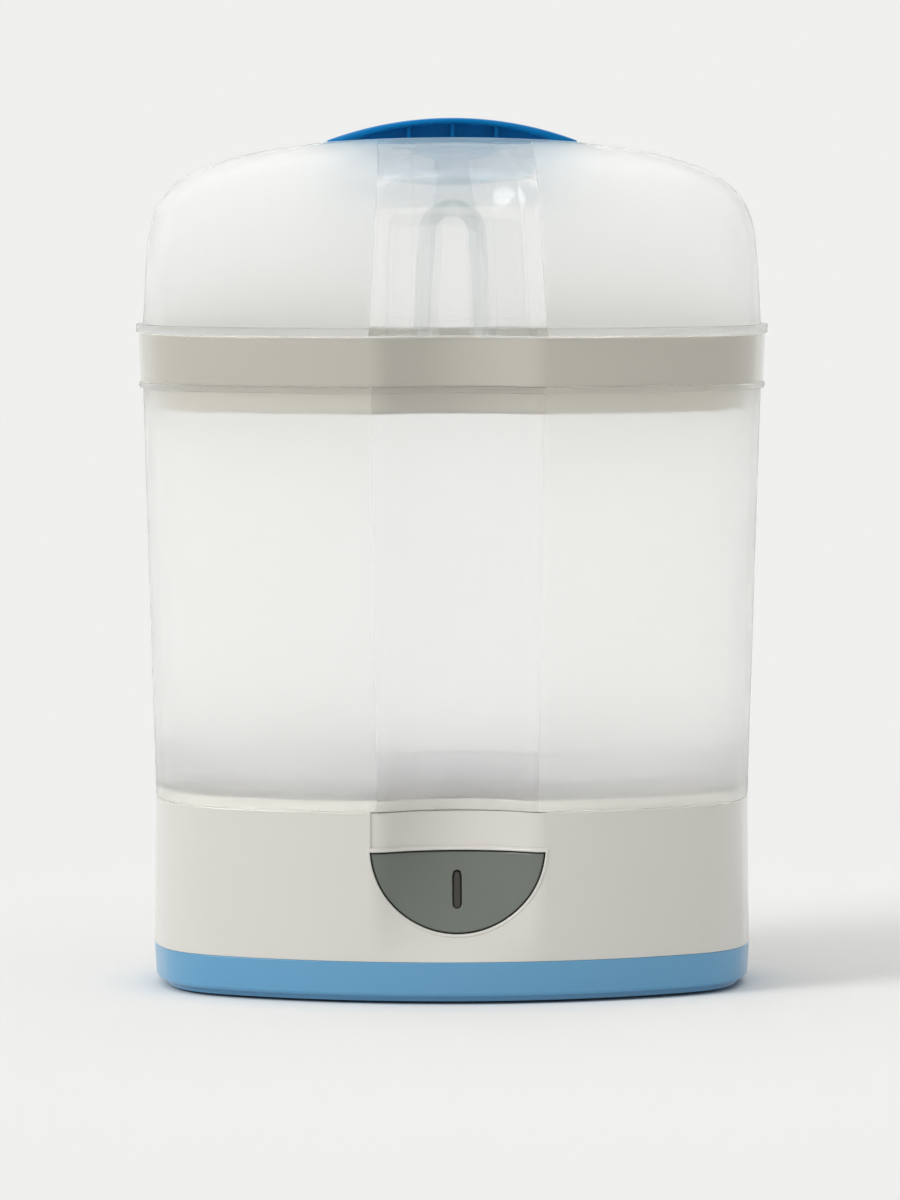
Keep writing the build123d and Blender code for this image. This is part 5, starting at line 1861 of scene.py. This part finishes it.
@dataclass(frozen=True)
class LidUnit:
    """Frosted domed lid, the blue bowl let into its crown and the arched grip across it."""

    wall: float = 0.0020
    rim_height: float = 0.0037
    rim_reach: float = 0.00305
    skirt_depth: float = 0.0036
    skirt_wall: float = 0.0016
    dome_height: float = 0.0809
    crown_scale: float = 0.66
    bowl_length: float = 0.0565
    bowl_depth: float = 0.0310
    bowl_wall: float = 0.0020
    bowl_clearance: float = 0.0002
    bottom_radius: float = 0.150
    top_radius: float = 0.820
    steam_x: float = 0.030
    steam_y: float = 0.014
    steam_half_length: float = 0.008
    steam_half_width: float = 0.0015
    steam_reach: float = 0.0107
    flange_reach: float = 0.0035
    flange_drop: float = 0.0060
    grip_top_radius: float = 0.156
    grip_under_radius: float = 0.131
    grip_thickness: float = 0.0027
    grip_half_depth: float = 0.0130
    grip_gap: float = 0.00005
    grip_power: float = 0.45
    web: float = 0.0024
    rib: float = 0.0016
    rib_half_depth: float = 0.0090
    rib_pitch: float = 0.0190
    rib_count: int = 3

    def dome(self, shrink: float = 0.0) -> Dome:
        """The dome, drawn in all round by shrink."""
        outline = Outline(DOME_OUTLINE.half_width - shrink, DOME_OUTLINE.half_depth - shrink)
        return Dome(outline, Seams.lid_low + self.rim_height, self.dome_height - shrink)

    def crown(self) -> float:
        """Height of the dome's crown."""
        return Seams.lid_low + self.rim_height + self.dome_height

    def build(self) -> None:
        """Build and dress the lid, its bowl and its grip."""
        self.shell()
        self.bowl()
        self.grip()

    def shell(self) -> None:
        """Frosted dome with its rim and skirt, open where the bowl is let in."""
        low = Seams.lid_low
        foot = low + self.rim_height
        outer, inner = self.dome(), self.dome(self.wall)
        skirt_inset = DOME_OUTLINE.half_width - (BAND_LOW_OUTLINE.half_width - 0.0030)
        skirt_low = low - self.skirt_depth
        rim = [
            Corner(skirt_inset, low),
            Corner(-self.rim_reach, low, 0.0005),
            Corner(-self.rim_reach, foot, 0.0007),
            Corner(0.0, foot),
        ]
        form = Taper(DOME_OUTLINE, low, DOME_OUTLINE, foot)
        rings = wall_rings(form, profile(rim, closed=False))
        dome_rings = outer.rings(44, self.crown_scale)
        rings += dome_rings[1:]
        hole = round_ring(dome_rings[-1], self.bowl_length + self.bowl_clearance,
                          self.bowl_depth + self.bowl_clearance, 0.0)
        rings += outer.crown(dome_rings[-1], hole, 8)
        inside = [inner.onto(hole)]
        inner_rings = inner.rings(30, self.crown_scale)
        under_crown = inner.crown(inner_rings[-1], hole, 5)[:-1]
        inside += list(reversed(under_crown)) + list(reversed(inner_rings))
        skirt_inner = skirt_inset + self.skirt_wall
        skirt = [
            Corner(self.wall, foot),
            Corner(skirt_inner, foot, 0.0004),
            Corner(skirt_inner, skirt_low, 0.0003),
            Corner(skirt_inset, skirt_low, 0.0003),
            Corner(skirt_inset, low),
        ]
        rings += inside + wall_rings(form, profile(skirt, closed=False)[1:-1])
        piece = Skin("lid_dome", rings[0]).pull(rings[1:]).close()
        present(smooth(piece, 50), FROSTED_LID, Unit.LID, "lid_rim", "lid_shell")

    def oval(self, inset: float, share: float = 1.0) -> Ring:
        """The bowl's oval in plan, drawn in by inset and shrunk to a share.

        Args:
            inset: How far it is drawn in.
            share: Share of its size that is left.

        Returns:
            The oval, at height 0.
        """
        ring, count = [], 120
        for step in range(count):
            turn = 2 * math.pi * step / count
            length, depth = self.bowl_length - inset, self.bowl_depth - inset
            ring.append(Vector((length * share * math.cos(turn), depth * share * math.sin(turn), 0.0)))
        return ring

    def top_over(self, x: float) -> float:
        """Height of the bowl's top edge."""
        return self.crown() - self.top_radius + math.sqrt(self.top_radius**2 - x**2)

    def under_at(self, x: float, lift: float = 0.0) -> float:
        """Height of the bowl's curved bottom, or of a curve that much above it."""
        return Seams.insert_low + self.bottom_radius - math.sqrt((self.bottom_radius - lift) ** 2 - x**2)

    def bowl(self) -> None:
        """Blue bowl: curved bottom, upright oval wall, flange under the lid, steam slots."""
        under = self.dome(self.wall + self.bowl_clearance)
        flange = self.flange_reach
        flange_low = self.crown() - self.flange_drop
        wall, rim = self.bowl_wall, 0.0008

        def level(ring: Ring, height: float) -> Ring:
            """A ring at a level height."""
            return [Vector((p.x, p.y, height)) for p in ring]

        def raised(ring: Ring, height: float) -> Ring:
            """A ring raised by a height."""
            return [point + Vector((0.0, 0.0, height)) for point in ring]

        def on_bottom(ring: Ring, lift: float) -> Ring:
            """A ring on the curved bottom."""
            return [Vector((p.x, p.y, self.under_at(p.x, lift))) for p in ring]

        def on_top(ring: Ring, drop: float) -> Ring:
            """A ring on the arch of the top edge, lowered by drop."""
            return [Vector((p.x, p.y, self.top_over(p.x) - drop)) for p in ring]

        shares = [step / 10 for step in range(1, 10)]
        rings = [on_bottom(self.oval(0.0, share), 0.0) for share in shares]
        rings += [
            on_bottom(self.oval(0.0004), 0.0),
            raised(on_bottom(self.oval(0.0), 0.0), 0.0006),
            level(self.oval(0.0), flange_low),
            level(self.oval(-flange), flange_low),
            under.onto(self.oval(-flange)),
            under.onto(self.oval(-flange / 2)),
            under.onto(self.oval(0.0)),
            on_top(self.oval(0.0), rim),
            on_top(self.oval(rim * 0.3), rim * 0.3),
            on_top(self.oval(rim), 0.0),
            on_top(self.oval(wall - rim / 2), 0.0),
            on_top(self.oval(wall), rim / 2),
            raised(on_bottom(self.oval(wall), wall), 0.0015),
            on_bottom(self.oval(wall + 0.0012), wall),
        ]
        rings += [on_bottom(self.oval(wall, share), wall) for share in reversed(shares)]
        piece = Skin("bowl", rings[0]).pull(rings[1:]).cap()
        places = four_corners(self.steam_x, self.steam_y)
        low = Seams.insert_low - PAST
        high = low + self.steam_reach
        cut(piece, copies_at(places, self.steam_half_length, self.steam_half_width, low, high))
        present(smooth(piece), BLUE_BOWL, Unit.LID, "handle_bowl")

    def grip(self) -> None:
        """Arched grip across the bowl, on an upright web with cross ribs."""
        top = Seams.grip_top
        inside_length = self.bowl_length - self.bowl_wall - self.grip_gap
        inside_depth = self.bowl_depth - self.bowl_wall - self.grip_gap
        bite = 0.0005

        def over(x: float) -> float:
            """Height of the grip's top."""
            return top - self.grip_top_radius + math.sqrt(self.grip_top_radius**2 - x**2)

        def beneath(x: float) -> float:
            """Height of the grip's underside."""
            radius = self.grip_under_radius
            return top - self.grip_thickness - radius + math.sqrt(radius**2 - x**2)

        def half_depth(x: float) -> float:
            """Half of the grip's depth, which narrows towards its ends.

            Args:
                x: The place along the grip.

            Returns:
                Half of the depth.
            """
            own = self.grip_half_depth * math.sqrt(max(0.0, 1 - (x / self.bowl_length) ** 2))
            room = inside_depth * math.sqrt(max(0.0, 1 - (x / inside_length) ** 2))
            return max(0.0004, min(own, room))

        stations, section = 48, 20
        rings = []
        for index in range(stations + 1):
            x = -inside_length * math.cos(math.pi * index / stations) * 0.9995
            floor = self.under_at(x, self.bowl_wall + self.grip_gap)
            low, high = max(beneath(x), floor), over(x)
            ring = []
            for step in range(section):
                turn = 2 * math.pi * step / section
                side = math.copysign(abs(math.cos(turn)) ** self.grip_power, math.cos(turn))
                rise = math.copysign(abs(math.sin(turn)) ** self.grip_power, math.sin(turn))
                ring.append(Vector((x, half_depth(x) * side, (low + high) / 2 + (high - low) / 2 * rise)))
            rings.append(ring)
        arch = smooth(Skin("arch", rings[0]).pull(rings[1:]).cap(), 60)
        pieces = [arch]
        web_half = self.web / 2
        rings = []
        for index in range(stations + 1):
            x = -inside_length * 0.96 * math.cos(math.pi * index / stations)
            low = self.under_at(x, self.bowl_wall + self.grip_gap)
            high = max(low + 0.0002, beneath(x) + bite)
            rings.append([Vector((x, y, z)) for y, z in
                          ((-web_half, low), (web_half, low), (web_half, high), (-web_half, high))])
        pieces.append(smooth(Skin("web", rings[0]).pull(rings[1:]).cap()))
        for index in range(self.rib_count):
            x = (index - (self.rib_count - 1) / 2) * self.rib_pitch
            low = self.under_at(x, self.bowl_wall + self.grip_gap)
            pieces.append(self.rib_plate(x, low, beneath(x) + bite))
        present(join(pieces, "grip"), BLUE_GRIP, Unit.LID, "handle_grip")

    def rib_plate(self, x: float, low: float, high: float) -> bpy.types.Object:
        """An upright rib across the web, with softened edges.

        Args:
            x: Its place along the grip.
            low: Height of its foot.
            high: Height of its top.

        Returns:
            The rib.
        """
        half = self.rib / 2
        depth = self.rib_half_depth
        rings = [[Vector((x + side * half, y, z)) for y, z in
                  ((-depth, low), (depth, low), (depth, high), (-depth, high))] for side in (-1, 1)]
        rib = Skin("rib", rings[0]).pull(rings[1:]).cap()
        use_modifier(rib, "BEVEL", width=0.0003, segments=2, limit_method="ANGLE")
        return smooth(rib)


@dataclass(frozen=True)
class InnerParts:
    """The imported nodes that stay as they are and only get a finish."""

    finishes: tuple[tuple[str, Finish], ...] = (
        ("foot_pads", FOOT_RUBBER),
        ("base_screws", ZINC),
        ("heating_element", HEATER_SHEATH),
        ("heater_clamp", ZINC),
        ("clamp_screws", ZINC),
        ("thermostat", BLACK_MOULDING),
        ("thermal_fuse", ZINC),
        ("button_bracket", BLACK_MOULDING),
        ("bracket_screws", ZINC),
        ("control_board", CIRCUIT_BOARD),
        ("board_screws", ZINC),
        ("tact_switch", BLACK_MOULDING),
        ("status_led", SMOKED_GUIDE),
        ("terminal_block", BLACK_MOULDING),
    )

    def dress(self) -> None:
        """Give each node its finish."""
        for node, finish in self.finishes:
            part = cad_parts[node]
            for slot in part.material_slots:
                slot.material = finish.make()
            LOG.info("%s: packed node in %s", node, finish.slot)


@dataclass(frozen=True)
class Studio:
    """Pale sweep, plain soft light from the left, and the camera."""

    backdrop: Color = (0.871, 0.871, 0.855)
    ambient: float = 0.38
    floor: Color = (0.90, 0.90, 0.885)
    near: float = 0.7
    far: float = 1.3
    image_width: int = 900
    image_height: int = 1200
    horizon_row: float = 158.0
    axis_column: float = 452.0
    focal_pixels: float = 6519.0
    distance: float = 2.85
    eye_height: float = 0.3609
    azimuth: float = -1.7
    sensor: float = 36.0

    def build(self) -> None:
        """Set up the world, the floor, the lamps and the camera."""
        bpy.context.scene.view_settings.view_transform = "Standard"
        self.world()
        self.sweep()
        self.lamp("side_light", strength=1.15, spread=22.0, elevation=36.0, azimuth=-60.0)
        self.lamp("top_light", strength=1.15, spread=90.0, elevation=88.0, azimuth=-90.0)
        self.camera()

    def seen(self, graph: Graph) -> Value:
        """1 for camera, glossy and transmitted rays, which see the bright backdrop.

        Args:
            graph: The world's nodes.

        Returns:
            The value.
        """
        path = graph.node("ShaderNodeLightPath", output="Is Camera Ray")
        node = path.socket.node
        glossy = Value(graph, node.outputs["Is Glossy Ray"])
        passed = Value(graph, node.outputs["Is Transmission Ray"])
        return graph.math("MAXIMUM", graph.math("MAXIMUM", path, glossy), passed)

    def world(self) -> None:
        """Even light from all round, with the backdrop's colour where it is seen."""
        world = bpy.data.worlds.new("studio")
        bpy.context.scene.world = world
        graph = Graph(world)
        ambient = (self.ambient, self.ambient, self.ambient, 1.0)
        color = graph.blend(self.seen(graph), ambient, opaque(self.backdrop))
        graph.surface(graph.node("ShaderNodeBackground", inputs={"Color": color, "Strength": 1.0}))

    def sweep(self) -> None:
        """A floor that runs into the backdrop's colour away from the part."""
        deselect_all()
        bpy.ops.mesh.primitive_plane_add(size=12.0)
        floor = bpy.context.object
        floor.name = "floor"
        material = bpy.data.materials.new("floor")
        graph = Graph(material)
        x, y, _ = graph.axes()
        reach = (x * x + y * y) ** 0.5
        lit = graph.node("ShaderNodeBsdfDiffuse", inputs={"Color": opaque(self.floor)})
        plain = graph.node("ShaderNodeEmission", inputs={"Color": opaque(self.backdrop), "Strength": 1.0})
        share = reach.ramp(self.near, self.far)
        graph.surface(graph.mix(share, lit, plain))
        floor.data.materials.append(material)

    def lamp(self, name: str, strength: float, spread: float, elevation: float, azimuth: float) -> None:
        """A soft distant lamp.

        Args:
            name: Name of the lamp.
            strength: Its strength.
            spread: Angle that it fills, in degrees.
            elevation: Its height above the horizon, in degrees.
            azimuth: Its direction, 0 in front of the part and negative to the left.
        """
        deselect_all()
        turn = (math.radians(90.0 - elevation), 0.0, math.radians(azimuth))
        bpy.ops.object.light_add(type="SUN", rotation=turn)
        lamp = bpy.context.object
        lamp.name = name
        lamp.data.energy = strength
        lamp.data.angle = math.radians(spread)

    def camera(self) -> None:
        """The camera at the photograph's place, tilted down to frame the part."""
        turn = math.radians(self.azimuth)
        place = Vector((math.sin(turn), -math.cos(turn), 0.0)) * self.distance
        place.z = self.eye_height
        tilt = math.atan((self.image_height / 2 - self.horizon_row) / self.focal_pixels)
        aside = math.atan((self.axis_column - self.image_width / 2) / self.focal_pixels)
        data = bpy.data.cameras.new("camera")
        data.sensor_width = self.sensor
        data.lens = self.focal_pixels / self.image_height * self.sensor
        data.clip_start = 0.05
        data.clip_end = 50.0
        camera = bpy.data.objects.new("camera", data)
        bpy.context.collection.objects.link(camera)
        camera.location = place
        camera.rotation_euler = (math.pi / 2 - tilt, 0.0, turn + aside)
        bpy.context.scene.camera = camera


def main() -> None:
    """Build the sub-assemblies in order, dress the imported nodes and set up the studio."""
    logging.basicConfig(level=logging.INFO, format="%(name)s %(message)s")
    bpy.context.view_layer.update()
    Studio().build()
    for unit in (BaseUnit(), HotPlate(), BodyUnit(), TrayUnit(), LidUnit()):
        unit.build()
    InnerParts().dress()
    deselect_all()


if __name__ == "__main__":
    main()
